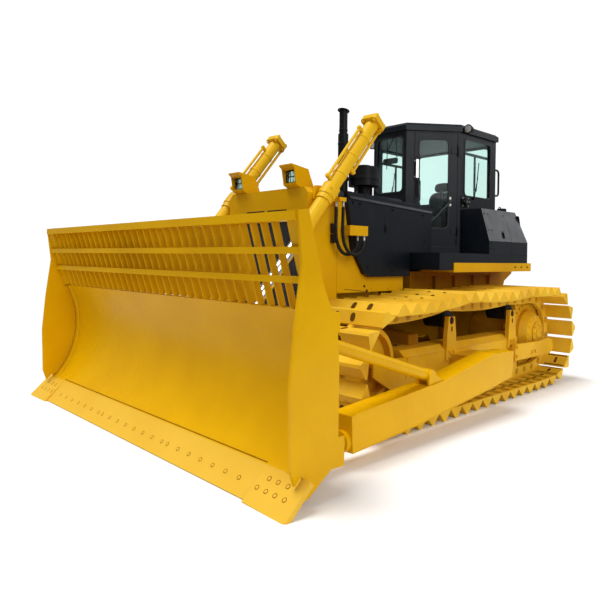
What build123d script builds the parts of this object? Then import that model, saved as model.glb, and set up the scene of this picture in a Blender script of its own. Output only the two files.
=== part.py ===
from build123d import *
import math
import os

# A low-ground-pressure landfill bulldozer, in millimetres.
# +Z is up, the blade faces -Y, +X is the driver's left, and the origin lies on the ground under
# the middle of the machine. A "station" is a distance back from the cutting edge's tip.
# What stands on both sides is drawn on the left (+X) and mirrored.

# ---- clearances that the whole machine uses ----
CLEAR = 6.0                # least gap between bodies that move past each other
SEAT = 0.3                 # gap between pieces that are bolted face to face
PIN_FIT = 1.0              # gap round a greased pin
CUT = 20.0                 # how far a cutting solid reaches past what it cuts

# ---- tracks ----
GAUGE = 2250.0             # between the track centre lines
SHOE_WIDTH = 910.0
LINK_PITCH = 216.0
SHOE_LENGTH = 208.0        # along the track, so that a slit stays between two shoes
SHOE_RIM = 14.0
SHOE_RIDGE = 110.0         # from the shoe's inner face to its ridge
SHOE_RIDGE_FLAT = 30.0
SHOE_END_SLOPE = 14.0      # the ridge stops short of the shoe's ends by this much
CHAIN_OUTER = 66.0         # from the pin line out to the shoe's inner face
CHAIN_INNER = 56.0         # from the pin line in to the rail that the rollers touch
CHAIN_WAIST = 18.0         # the rail's inner edge steps up by this much over each pin
CHAIN_RAIL_WIDTH = 52.0
CHAIN_RAIL_OFFSET = 96.0   # from the track's centre line to a rail's middle
SPROCKET_STATION = 5393.0
SPROCKET_PITCH_RADIUS = 464.0
SPROCKET_LIFT = 15.0       # the shoes under the sprocket hang this far off the ground
IDLER_STATION = 1985.0
IDLER_PITCH_RADIUS = 434.0
GROUND_END_STATION = 4960.0  # where the chain starts to rise to the sprocket
CARRIER_STATIONS = (3264.0, 4690.0)
CARRIER_PIN_HEIGHT = 1120.0
TOP_SAG = 34.0

# ---- what the tracks run on ----
AXLE_RADIUS = 45.0
IDLER_WIDTH = 190.0
IDLER_FLANGE = 22.0
IDLER_FLANGE_WIDTH = 76.0
IDLER_WEB = 36.0
IDLER_RIM = 46.0
IDLER_HUB_RADIUS = 92.0
SPROCKET_TEETH = 27
SPROCKET_WIDTH = 74.0
SPROCKET_TOOTH = 34.0      # from the pitch circle in to the tooth's foot
SPROCKET_TIP = 26.0        # from the pitch circle out to the tooth's tip
FINAL_DRIVE_RADIUS = 300.0
FINAL_DRIVE_CASE = 340.0   # radius of the case inboard of the sprocket
FINAL_DRIVE_COVER = 176.0  # how far the cover stands outside the sprocket
ROLLER_RADIUS = 106.0
ROLLER_FLANGE = 20.0
ROLLER_FLANGE_WIDTH = 18.0
ROLLERS = 8
FIRST_ROLLER_STATION = 2500.0
LAST_ROLLER_STATION = 4780.0
CARRIER_RADIUS = 88.0
CARRIER_FLANGE = 16.0
CARRIER_RUNNING_GAP = 14.0   # under the rails, whose links make a shallow corner there
FRAME_HALF_WIDTH = 175.0
FRAME_BOTTOM = 478.0
FRAME_SHOULDER = 640.0
FRAME_TOP = 700.0
FRAME_BEVEL = 70.0
FRAME_CHEEK = 22.0
IDLER_GAP = 35.0           # between the idler's flange and the frame's front end
FRAME_REAR_STATION = 4880.0
FRAME_TAIL_X = 1402.0      # outer face of the plate that runs back outside the final drive
FRAME_TAIL_PLATE = 44.0
FRAME_TAIL_OUTLINE = (     # (station, height)
    (4610, 377), (4610, 580), (5300, 566), (5560, 590), (5700, 556), (5736, 440), (5632, 368),
)
GUARD_LIP = 20.0           # the roller guards stop this far above the rail
POST_THICKNESS = 50.0
POST_FOOT = 110.0          # half widths of the post that carries a carrier roller
POST_NECK = 90.0
POST_HEAD = 62.0

# ---- blade ----
BLADE_WIDTH = 4364.0
EDGE_TOP_STATION = 200.0   # the seam between the cutting edge and the moldboard
EDGE_TOP_HEIGHT = 206.0
EDGE_THICKNESS = 32.0
EDGE_LIFT = 8.0            # the straight edge's tip stands this far off the ground
END_BIT_WIDTH = 430.0
END_BIT_REACH = 31.0       # the end bits' outer corners stand this far ahead of the edge's tip
END_BIT_THICKNESS = 38.0
END_BIT_ROUND = 34.0
MOLDBOARD_TOP_STATION = 341.0
MOLDBOARD_TOP_HEIGHT = 1276.0
MOLDBOARD_DEPTH = 182.0    # sagitta of its curve
MOLDBOARD_THICKNESS = 18.0
SIDE_PLATE_X = 2112.0      # outer face
SIDE_PLATE_THICKNESS = 24.0
SIDE_PLATE_OUTLINE = (     # (station, height) round the plate from its upper front corner
    (121, 1932), (168, 1578), (110, 1168), (72, 764), (83, 285), (163, 60), (240, 60),
    (529, 250), (529, 900), (506, 1183), (372, 1435), (218, 1946),
)
RACK_TOP_HEIGHT = 1932.0
RACK_TOP_STATION = 112.0
RACK_TOP_DEPTH = 104.0
RACK_TOP_BEAM = 62.0
RACK_POST_WIDTH = 102.0    # flat post at each end of the rack
RACK_END_GAP = 139.0       # between a post and the first slat
RACK_SLATS = 33
RACK_SLAT_WIDTH = 12.0
RACK_SLAT_DEPTH = 54.0
RACK_BAR_HEIGHTS = (1678.0, 1484.0)
RACK_BAR_HEIGHT = 48.0
RACK_BAR_DEPTH = 30.0
BACK_FRONT = 280.0         # inside the moldboard's hollow
BACK_REAR = 620.0          # rear face of the lower beam behind the moldboard
BACK_TOP_REAR = 560.0      # rear face of the upper beam
BACK_BOTTOM = 190.0
BACK_BEAM = 210.0
BACK_UPPER_BEAM = 140.0
BACK_RIB_XS = (300.0, 1190.0, 1745.0)
BACK_RIB = 24.0
EAR_THICKNESS = 28.0

# ---- push arms, and the brace and cylinder between them and the blade ----
ARM_PIVOT_STATION = 3490.0
ARM_PIVOT_HEIGHT = 505.0
ARM_INNER_X = 1640.0
ARM_OUTER_X = 1850.0
ARM_UPPER_LINE = ((976, 416), (2250, 512), (3223, 668), (3632, 654))
ARM_LOWER_LINE = ((3600, 385), (3214, 328), (1820, 182), (992, 124))
ARM_CAP_X = 1752.0         # bolted cap over the ball in the arm's front end
ARM_CAP_HEIGHT = 205.0
ARM_CAP_RADIUS = 86.0
ARM_CAP = 34.0
ARM_NECK_RADIUS = 62.0
TRUNNION_RADIUS = 95.0
TRUNNION_COLLAR = 40.0
ARM_EYE_WALL = 45.0
ARM_EYE_COVER = 24.0
BRACE_X = 1768.0
BRACE_RADIUS = 52.0
BRACE_FRONT = (600, 1040)  # (station, height) of the brace's ends
BRACE_REAR = (2102, 578)
BRACE_EYE_RADIUS = 62.0
BRACE_EYE_WIDTH = 96.0
BRACE_EYE_DROP = 84.0      # from the eye down to the arm's top
BRACE_LUG_PLATE = 22.0
BRACE_LUG_TAIL = 190.0
TILT_ROD_RADIUS = 36.0
TILT_BARREL_RADIUS = 66.0
TILT_BARREL = (0.28, 0.9)  # where the barrel starts and ends along the brace's line

# ---- blade lift cylinders ----
LIFT_X = 779.0
TRUNNION_STATION = 1830.0
TRUNNION_HEIGHT = 2290.0
LIFT_PIN_RADIUS = 38.0
ROD_EYE_STATION = 680.0
ROD_EYE_HEIGHT = 960.0
BARREL_RADIUS = 73.0
BARREL_BORE = 59.5
ROD_RADIUS = 54.0
PISTON_RADIUS = 58.0
PISTON_LENGTH = 40.0
GLAND_BELOW_TRUNNION = 130.0
GLAND_LENGTH = 24.0
GLAND_COLLAR = 12.0
BARREL_LENGTH = 1215.0
BARREL_END = 26.0
ROD_INSERTION = 400.0
ROD_EYE_RADIUS = 80.0
ROD_EYE_WIDTH = 112.0
YOKE_COLLAR = 20.0
YOKE_HALF_LENGTH = 70.0
HEAD_HALF_WIDTH = 104.0    # square flange that closes the barrel's upper end
HEAD_LENGTH = 62.0
PIPE_RADIUS = 17.0
PIPE_CLAMP = 23.0
HEAD_ROUND = 34.0
PIPE_OFFSET = 116.0        # from the barrel's axis to a pipe's
PIPE_UPPER_FOOT = 96.0     # how far above the trunnion each pipe starts
PIPE_LOWER_FOOT = 400.0

# ---- front: radiator guard and hood ----
GUARD_HALF_WIDTH = 642.0
GUARD_FRONT_STATION = 1678.0
GUARD_REAR_STATION = 2120.0
GUARD_TOP = TRUNNION_HEIGHT + 60.0
GUARD_BOTTOM = 900.0
GUARD_SHEET = 22.0
GUARD_CORNER = 60.0
GUARD_WINDOW_MARGIN = 110.0
GUARD_WINDOW_SILL = 140.0
GUARD_WINDOW_TOP = 2020.0
GUARD_SLOT = (20.0, 330.0, 2080.0, 2108.0)  # two slots over the window: from x to x, from z to z
GRILLE_DEPTH = 28.0
GRILLE_RIM = 40.0
HOOD_REAR_STATION = 3290.0
HOOD_SHEET = 16.0
HOOD_EDGE = 90.0           # depth of the hood's folded sides
HOOD_SIDE_BOTTOM = 1262.0
LAMP_X = 427.0
LAMP_HALF_WIDTH = 95.0
LAMP_BOX_TOP = 228.0       # over the guard
LAMP_VISOR = 116.0         # how far the lamp box's lip stands ahead of the guard
LAMP_BOX_SHEET = 12.0
LAMP_HALF = 62.0

# ---- hull, engine and drawbar ----
HULL_HALF_WIDTH = 540.0
HULL_REAR_STATION = 5830.0
HULL_TOP = 1140.0
RAIL_X = 330.0
RAIL_WALL = 90.0
RAIL_BOTTOM = 620.0
REAR_CASE_STATION = 4300.0
REAR_CASE_BOTTOM = 480.0
REAR_CASE_STEP = 120.0
ENGINE_HALF_WIDTH = 250.0
ENGINE_STATIONS = (2180.0, 3330.0)
ENGINE_TOP = 2050.0
RADIATOR_HALF_WIDTH = 560.0
RADIATOR_STATIONS = (1760.0, 2060.0)
RADIATOR_TOP = 2230.0
EQUALIZER_STATION = 2900.0
EQUALIZER_HALF_DEPTH = 90.0
EQUALIZER_RISE = 170.0
EQUALIZER_LAP = 120.0
DRAWBAR_REACH = 230.0      # behind the hull
DRAWBAR_HEIGHT = 650.0
DRAWBAR_HALF_WIDTH = 110.0
DRAWBAR_HALF_DEPTH = 90.0
DRAWBAR_JAW = 38.0         # half of the jaw's opening
DRAWBAR_JAW_DEPTH = 170.0
DRAWBAR_PIN_BACK = 85.0    # from the drawbar's tip to its pin hole
DRAWBAR_PIN_RADIUS = 30.0
TIP_TO_TAIL = HULL_REAR_STATION + DRAWBAR_REACH

# ---- decks, boxes and tank ----
PLATFORM_HALF_WIDTH = 1100.0
PLATFORM_FRONT_STATION = 3347.0
PLATFORM_REAR_STATION = 5560.0
PLATFORM_BOTTOM = 1510.0
PLATFORM_TOP = 1710.0
STRIP_FRONT_STATION = 3641.0
STRIP_OVERHANG = 90.0      # behind the platform
STRIP_DROP = 27.0          # under the platform
STRIP_HEIGHT = 112.0
STRIP_SHEET = 12.0
STRIP_LAP = 40.0
DASH_GAP = 4.0
DASH_HALF_WIDTH = 700.0
DASH_FRONT_STATION = 2203.0
DASH_REAR_STATION = 3790.0
DASH_BOTTOM = 1430.0
DASH_DROP = 8.0            # its top edge lies this far under the hood
DASH_SHOULDER = (3283.0, 62.0)   # (station, depth under the hood)
DASH_REAR_DROP = 80.0
DASH_FOOT_LINE = ((2315, 1739), (2512, 1466), (2600, DASH_BOTTOM))
DASH_BAND = 52.0           # bevelled band along its upper edge
DASH_BAND_THICKNESS = 10.0
BOX_FRONT_STATION = 4485.0
BOX_SEAM_STATION = 5090.0
BOX_SEAM = 4.0
BOX_WAIST = 1877.0
BOX_TOP = 2298.0
BOX_TOP_HALF_WIDTH = 979.0
BOX_CAB_GAP = 10.0
TANK_REAR_SLOPE = 140.0
FILLER_X = 860.0
FILLER_STATION = 5270.0
FILLER_RADIUS = 62.0
FILLER_HEIGHT = 46.0
CASE_HALF_WIDTH = 670.0
CASE_FRONT_STATION = 3400.0
CASE_REAR_LINE = ((5700, 0), (5760, 135), (5986, 245))   # (station, height over the case's bottom)
CASE_BOTTOM = 1195.0
CASE_PANEL_INSET = 46.0
CASE_FLANGE = 60.0
CASE_RIB_STATIONS = (3412.0, 3960.0, 4420.0, 4900.0, 5330.0)
CASE_RIB = 14.0

# ---- cab ----
CAB_FRONT_STATION = 3850.0
CAB_FRONT_HALF_WIDTH = 265.0
CAB_SHOULDER_STATION = 4450.0
CAB_HALF_WIDTH = 700.0
CAB_REAR_STATION = 5390.0
CAB_WALL = 46.0
CAB_FLOOR = 60.0
CAB_TOP = 3310.0
CAB_ROOF_HEIGHT = 100.0
CAB_ROOF_BEVEL = 34.0
CAB_ROOF_EAVE = 26.0
CAB_SILL = 1795.0
WINDOW_HEAD = 3245.0
WINDOW_ROUND = 62.0
FRONT_GLASS_SILL = 2510.0
FRONT_GLASS_MARGIN = 50.0
SIDE_GLASS_SILL = 2480.0
SIDE_GLASS_MARGINS = (96.0, 150.0)   # ahead of and behind the side window
REAR_GLASS_MARGIN = 110.0
GLASS_THICKNESS = 6.0
GLASS_INSET = 14.0
DOOR_THICKNESS = 40.0
DOOR_TOP = 3290.0
DOOR_MARGIN_FRONT = 112.0
DOOR_MARGIN_REAR = 40.0
DOOR_GLASS_FRONT = 55.0
DOOR_GLASS_REAR = 120.0
DOOR_GLASS_BOTTOM = 2040.0
DOOR_GLASS_TOP = 3210.0
HINGE_HEIGHTS = (2000.0, 3050.0)
HINGE_STANDOFF = 14.0
HINGE_PIN_RADIUS = 8.0
HINGE_HALF_HEIGHT = 56.0
HINGE_KNUCKLE = 26.0
HINGE_LEAF = 90.0
STAY_START = (172.0, 1957.0)   # (along the door from its front corner post, height)
STAY_END = (600.0, 2395.0)
STAY_RADIUS = 13.0
STAY_STANDOFF = 52.0
HANDLE_ALONG = 140.0
HANDLE_HEIGHTS = (2690.0, 2930.0)
HANDLE_WIDTH = 34.0
HANDLE_STANDOFF = 26.0
GRAB_HEIGHTS = (2559.0, 2924.0)
GRAB_X = 668.0
GRAB_REACH = 150.0
GRAB_TUBE = 14.0
GRAB_BEND = 50.0
CAB_LAMP_RADIUS = 62.0
CAB_LAMP_DEPTH = 78.0
CAB_LAMP_BACK = 52.0       # behind the cab's shoulder
CAB_LAMP_DROP = 20.0       # under the roof's middle
SEAT_STATION = 4900.0
CUSHION_HALF_WIDTH = 250.0
CUSHION_STATIONS = (4650.0, 5130.0)
CUSHION_HEIGHTS = (2120.0, 2250.0)
BACKREST_HALF_WIDTH = 240.0
BACKREST_LINE = ((5030, 0), (5150, 0), (5240, 610), (5140, 620))   # (station, height over the cushion)
SEAT_BASE_HALF = 200.0
CONSOLE_XS = (290.0, 400.0)
CONSOLE_STATIONS = (4480.0, 5020.0)
CONSOLE_TOP = 2330.0
DASH_HALF_LENGTH = 230.0
DASH_DEPTHS = (70.0, 240.0)   # behind the cab's front corner
DASH_PANEL_TOP = 2400.0

# ---- exhaust and air cleaner ----
EXHAUST_X = 200.0
EXHAUST_STATION = 2691.0
EXHAUST_RADIUS = 60.0
EXHAUST_JOINT = 3088.0
EXHAUST_PIPE_RADIUS = 48.0
EXHAUST_TOP = 3362.0
RAIN_CAP_RADIUS = 70.0
RAIN_CAP_RISE = 34.0
CLEANER_X = 300.0
CLEANER_STATION = 2950.0
CLEANER_RADIUS = 178.0
CLEANER_HEIGHTS = (2490.0, 2712.0)
CLEANER_COLLAR = 22.0
CLEANER_PIPE_RADIUS = 78.0

# ---- hydraulic hoses beside the hood ----
HOSE_DIAMETER = 22.0
HOSE_XS = (728.0, 770.0)   # the front hose hangs inside the rear one's loop
HOSE_SPACING = 58.0        # along the machine
HOSE_ROUTE = (             # (station, height) of the front hose's corners
    (2006, 2215), (2006, 2068), (1998, 1915), (2022, 1779), (2110, 1678), (2240, 1668), (2345, 1762), (2345, 1872),
)
HOSE_BLOCK = 40.0
HOSE_BRACKET_PLATE = 14.0
HOSE_BRACKET_STATIONS = (2066.0, 2150.0)
HOSE_BRACKET_HEIGHTS = (1812.0, 2190.0)
HOSE_BOX_STATIONS = (2150.0, 2442.0)
HOSE_BOX_HEIGHT = 104.0

NODES = {}


# ---- small helpers ----
MIDDLE_STATION = (TIP_TO_TAIL - END_BIT_REACH) / 2


def st(station):
    """Model y of a station."""
    return station - MIDDLE_STATION


def block(x0, x1, y0, y1, z0, z1):
    return Pos((x0 + x1) / 2, (y0 + y1) / 2, (z0 + z1) / 2) * Box(abs(x1 - x0), abs(y1 - y0), abs(z1 - z0))


def outline(points, amount, direction):
    """A closed line through (x, y, z) points, drawn out along a direction."""
    return extrude(make_face(Polyline(*points, close=True)), amount=amount, dir=direction)


def side_profile(points, x0, x1):
    """Solid between two x, from its outline seen from the side, as (station, height) points."""
    return outline([(x0, st(s), z) for s, z in points], x1 - x0, (1, 0, 0))


def plan_profile(points, z0, z1):
    """Solid between two heights, from its outline seen from above, as (x, station) points."""
    return outline([(x, st(s), z0) for x, s in points], z1 - z0, (0, 0, 1))


def front_profile(points, s0, s1):
    """Solid between two stations, from its outline seen from the front, as (x, height) points."""
    return outline([(x, st(s0), z) for x, z in points], s1 - s0, (0, 1, 0))


def cylinder_x(x0, x1, station, height, radius):
    return Pos((x0 + x1) / 2, st(station), height) * Rot(0, 90, 0) * Cylinder(radius, abs(x1 - x0))


def cylinder_z(x, station, z0, z1, radius):
    return Pos(x, st(station), (z0 + z1) / 2) * Cylinder(radius, z1 - z0)


def turned(points, x, station, height):
    """Solid turned about an axis across the machine, from its outline as (radius, distance out) points."""
    face = make_face(Polyline(*[(w, 0, r) for r, w in points], close=True))
    return Pos(x, st(station), height) * revolve(face, axis=Axis.X)


def bar(start, end, radius):
    """Round bar between two (x, station, height) points."""
    a = Vector(start[0], st(start[1]), start[2])
    b = Vector(end[0], st(end[1]), end[2])
    plane = Plane(origin=(a + b) / 2, z_dir=b - a)
    return plane * Cylinder(radius, (b - a).length)


def left_right(solid):
    """A solid and its mirror image, as two solids."""
    return [solid, mirror(solid, about=Plane.YZ)]


def solids_of(*shapes):
    found = []
    for shape in shapes:
        if isinstance(shape, (list, tuple, ShapeList)):
            found += solids_of(*shape)
        else:
            found += list(shape.solids())
    return found


def node(name, *shapes):
    NODES[name] = solids_of(*shapes)


def pair(name, solid):
    """The same piece on both sides, each with its own node."""
    node(name + "_left", solid)
    node(name + "_right", mirror(solid, about=Plane.YZ))


# ---- tracks ----
SPROCKET_HEIGHT = SPROCKET_PITCH_RADIUS + CHAIN_OUTER + SHOE_RIDGE + SPROCKET_LIFT
GROUND_PIN_HEIGHT = CHAIN_OUTER + SHOE_RIDGE
GROUND_RAIL_HEIGHT = GROUND_PIN_HEIGHT + CHAIN_INNER
IDLER_HEIGHT = GROUND_PIN_HEIGHT + IDLER_PITCH_RADIUS
TRACK_X = GAUGE / 2
TRACK_OUTER_X = TRACK_X + SHOE_WIDTH / 2
CHAIN_HALF_WIDTH = CHAIN_RAIL_OFFSET + CHAIN_RAIL_WIDTH / 2


def pin_line():
    """The closed line through the track's link pins, seen from the side."""
    sprocket_top = (0, st(SPROCKET_STATION), SPROCKET_HEIGHT + SPROCKET_PITCH_RADIUS)
    sprocket_bottom = (0, st(SPROCKET_STATION), SPROCKET_HEIGHT - SPROCKET_PITCH_RADIUS)
    sprocket_rear = (0, st(SPROCKET_STATION + SPROCKET_PITCH_RADIUS), SPROCKET_HEIGHT)
    idler_top = (0, st(IDLER_STATION), IDLER_HEIGHT + IDLER_PITCH_RADIUS)
    idler_bottom = (0, st(IDLER_STATION), IDLER_HEIGHT - IDLER_PITCH_RADIUS)
    idler_front = (0, st(IDLER_STATION - IDLER_PITCH_RADIUS), IDLER_HEIGHT)
    front_carrier = (0, st(CARRIER_STATIONS[0]), CARRIER_PIN_HEIGHT)
    rear_carrier = (0, st(CARRIER_STATIONS[1]), CARRIER_PIN_HEIGHT)
    ground_end = (0, st(GROUND_END_STATION), GROUND_PIN_HEIGHT)

    def hanging(a, b, sag):
        """The middle of the chain's slack stretch between two places."""
        return (0, (a[1] + b[1]) / 2, (a[2] + b[2]) / 2 - sag)

    return Wire([
        Line(idler_bottom, ground_end),
        Line(ground_end, sprocket_bottom),
        ThreePointArc(sprocket_bottom, sprocket_rear, sprocket_top),
        ThreePointArc(sprocket_top, hanging(sprocket_top, rear_carrier, TOP_SAG / 4), rear_carrier),
        ThreePointArc(rear_carrier, hanging(rear_carrier, front_carrier, TOP_SAG), front_carrier),
        ThreePointArc(front_carrier, hanging(front_carrier, idler_top, TOP_SAG), idler_top),
        ThreePointArc(idler_top, idler_front, idler_bottom),
    ])


def link_pins():
    """The pins' places, as (y, z), one pitch apart along the pin line."""
    line = pin_line()
    count = round(line.length / LINK_PITCH)
    places = [line.position_at(i / count) for i in range(count)]
    return [(p.Y, p.Z) for p in places]


def parallel_ring(pins, offset):
    """The chain's pins moved outward by an offset, each along the corner between its two links."""
    count = len(pins)
    outward = []
    for i in range(count):
        (ya, za), (yb, zb) = pins[i], pins[(i + 1) % count]
        length = math.hypot(yb - ya, zb - za)
        outward.append(((zb - za) / length, (ya - yb) / length))
    ring = []
    for i, (y, z) in enumerate(pins):
        ny = outward[i - 1][0] + outward[i][0]
        nz = outward[i - 1][1] + outward[i][1]
        scale = 2 * offset / (ny * ny + nz * nz)
        ring.append((y + ny * scale, z + nz * scale))
    return ring


def shoe():
    """One shoe: a hip roof whose ridge presses into soft ground, across the whole track."""
    half = SHOE_LENGTH / 2
    section = [
        (-half, CHAIN_OUTER), (half, CHAIN_OUTER), (half, CHAIN_OUTER + SHOE_RIM),
        (SHOE_RIDGE_FLAT / 2, CHAIN_OUTER + SHOE_RIDGE), (-SHOE_RIDGE_FLAT / 2, CHAIN_OUTER + SHOE_RIDGE),
        (-half, CHAIN_OUTER + SHOE_RIM),
    ]
    return outline([(-SHOE_WIDTH / 2, along, out) for along, out in section], SHOE_WIDTH, (1, 0, 0))


def track(x_middle):
    """One endless track: two rails of links, and a shoe bolted across each link."""
    pins = link_pins()
    outer_line = parallel_ring(pins, CHAIN_OUTER + SHOE_RIM / 2)
    inner_line = parallel_ring(pins, -CHAIN_INNER)
    rails = []
    for side in (-1, 1):
        x0 = x_middle + side * CHAIN_RAIL_OFFSET - CHAIN_RAIL_WIDTH / 2
        outer = make_face(Polyline(*[(x0, y, z) for y, z in outer_line], close=True))
        inner = make_face(Polyline(*[(x0, y, z) for y, z in inner_line], close=True))
        rails.append(extrude(outer - inner, amount=CHAIN_RAIL_WIDTH, dir=(1, 0, 0)))
    one = shoe()
    shoes = []
    for i, (ya, za) in enumerate(pins):
        yb, zb = pins[(i + 1) % len(pins)]
        length = math.hypot(yb - ya, zb - za)
        outward = (0, (zb - za) / length, (ya - yb) / length)
        plane = Plane(origin=(x_middle, (ya + yb) / 2, (za + zb) / 2), x_dir=(1, 0, 0), z_dir=outward)
        shoes.append(plane * one)
    return rails[0].fuse(rails[1], *shoes)


# ---- what the tracks run on ----
def idlers():
    # a link lies flat across the round tread, so the tread is lower than the rail at a pin
    tread = math.sqrt(IDLER_PITCH_RADIUS ** 2 - (LINK_PITCH / 2) ** 2) - CHAIN_INNER - 4 * SEAT
    half = IDLER_WIDTH / 2
    flange = IDLER_FLANGE_WIDTH / 2
    web = IDLER_WEB / 2
    rim = tread - IDLER_RIM
    wheel = turned([
        (0, -FRAME_HALF_WIDTH), (AXLE_RADIUS, -FRAME_HALF_WIDTH), (AXLE_RADIUS, -half), (IDLER_HUB_RADIUS, -half),
        (IDLER_HUB_RADIUS, -web), (rim, -web), (rim, -half), (tread, -half), (tread, -flange),
        (tread + IDLER_FLANGE, -flange), (tread + IDLER_FLANGE, flange), (tread, flange), (tread, half),
        (rim, half), (rim, web), (IDLER_HUB_RADIUS, web), (IDLER_HUB_RADIUS, half),
        (AXLE_RADIUS, half), (AXLE_RADIUS, FRAME_HALF_WIDTH), (0, FRAME_HALF_WIDTH),
    ], TRACK_X, IDLER_STATION, IDLER_HEIGHT)
    node("idlers", left_right(wheel))


def sprockets():
    """Toothed rings. Each tooth fills the space between two pins, which lie in every second gap."""
    pitch = 2 * math.pi / SPROCKET_TEETH
    tip = SPROCKET_PITCH_RADIUS + SPROCKET_TIP
    root = SPROCKET_PITCH_RADIUS - SPROCKET_TOOTH
    points = []
    for i in range(SPROCKET_TEETH):
        for share, radius in ((-0.42, root), (-0.16, root), (0.10, tip), (0.32, tip)):
            a = (i + share) * pitch
            points.append((-SPROCKET_WIDTH / 2, radius * math.sin(a), radius * math.cos(a)))
    ring = outline(points, SPROCKET_WIDTH, (1, 0, 0))
    ring = ring - Rot(0, 90, 0) * Cylinder(FINAL_DRIVE_RADIUS + SEAT, SPROCKET_WIDTH + CUT)
    node("sprockets", left_right(Pos(TRACK_X, st(SPROCKET_STATION), SPROCKET_HEIGHT) * ring))


def final_drives():
    """Reduction case between the hull and the sprocket, and its stepped cover outside."""
    inner = HULL_HALF_WIDTH + SEAT
    ring_inner = TRACK_X - SPROCKET_WIDTH / 2
    ring_outer = TRACK_X + SPROCKET_WIDTH / 2
    whole = turned([
        (0, inner), (FINAL_DRIVE_CASE, inner), (FINAL_DRIVE_CASE, ring_inner - 40), (FINAL_DRIVE_RADIUS, ring_inner - 23),
        (FINAL_DRIVE_RADIUS, ring_outer + 46), (FINAL_DRIVE_RADIUS - 62, ring_outer + 130),
        (FINAL_DRIVE_RADIUS / 2, ring_outer + 158), (FINAL_DRIVE_RADIUS / 2, ring_outer + FINAL_DRIVE_COVER),
        (0, ring_outer + FINAL_DRIVE_COVER),
    ], 0, SPROCKET_STATION, SPROCKET_HEIGHT)
    node("final_drives", left_right(whole))


def rollers():
    """Rollers under the frame, each with a flange outside both rails, between the frame's cheeks."""
    height = GROUND_RAIL_HEIGHT + ROLLER_RADIUS + SEAT
    flange = ROLLER_RADIUS + ROLLER_FLANGE
    start = CHAIN_HALF_WIDTH + 2
    end = FRAME_HALF_WIDTH - FRAME_CHEEK - SEAT
    spacing = (LAST_ROLLER_STATION - FIRST_ROLLER_STATION) / (ROLLERS - 1)
    solids = []
    for i in range(ROLLERS):
        wheel = turned([
            (0, -end), (flange, -end), (flange, -start), (ROLLER_RADIUS, -start),
            (ROLLER_RADIUS, start), (flange, start), (flange, end), (0, end),
        ], TRACK_X, FIRST_ROLLER_STATION + spacing * i, height)
        solids += left_right(wheel)
    node("track_rollers", solids)


CARRIER_HEIGHT = CARRIER_PIN_HEIGHT - CHAIN_INNER - CARRIER_RADIUS - CARRIER_RUNNING_GAP


def carrier_rollers():
    solids = []
    for station in CARRIER_STATIONS:
        wheel = turned([
            (0, -CHAIN_HALF_WIDTH), (CARRIER_RADIUS, -CHAIN_HALF_WIDTH), (CARRIER_RADIUS, CHAIN_HALF_WIDTH),
            (CARRIER_RADIUS + CARRIER_FLANGE, CHAIN_HALF_WIDTH + 2),
            (CARRIER_RADIUS + CARRIER_FLANGE, CHAIN_HALF_WIDTH + 20), (AXLE_RADIUS, CHAIN_HALF_WIDTH + 20),
            (AXLE_RADIUS, FRAME_HALF_WIDTH + 7), (0, FRAME_HALF_WIDTH + 7),
        ], TRACK_X, station, CARRIER_HEIGHT)
        solids += left_right(wheel)
    node("carrier_rollers", solids)


def carrier_post(station, x):
    """Forked post that holds a carrier roller's axle outside the chain."""
    top = CARRIER_HEIGHT + POST_HEAD * 2 / 3
    post = side_profile([
        (station - POST_FOOT, FRAME_SHOULDER - POST_FOOT), (station + POST_FOOT, FRAME_SHOULDER - POST_FOOT),
        (station + POST_NECK, CARRIER_HEIGHT - 160), (station + POST_HEAD, top), (station - POST_HEAD, top),
        (station - POST_NECK, CARRIER_HEIGHT - 160),
    ], x - POST_THICKNESS + 20, x + 20)
    return post - cylinder_x(x - CUT * 3, x + CUT * 3, station, CARRIER_HEIGHT, AXLE_RADIUS + SEAT)


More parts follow.
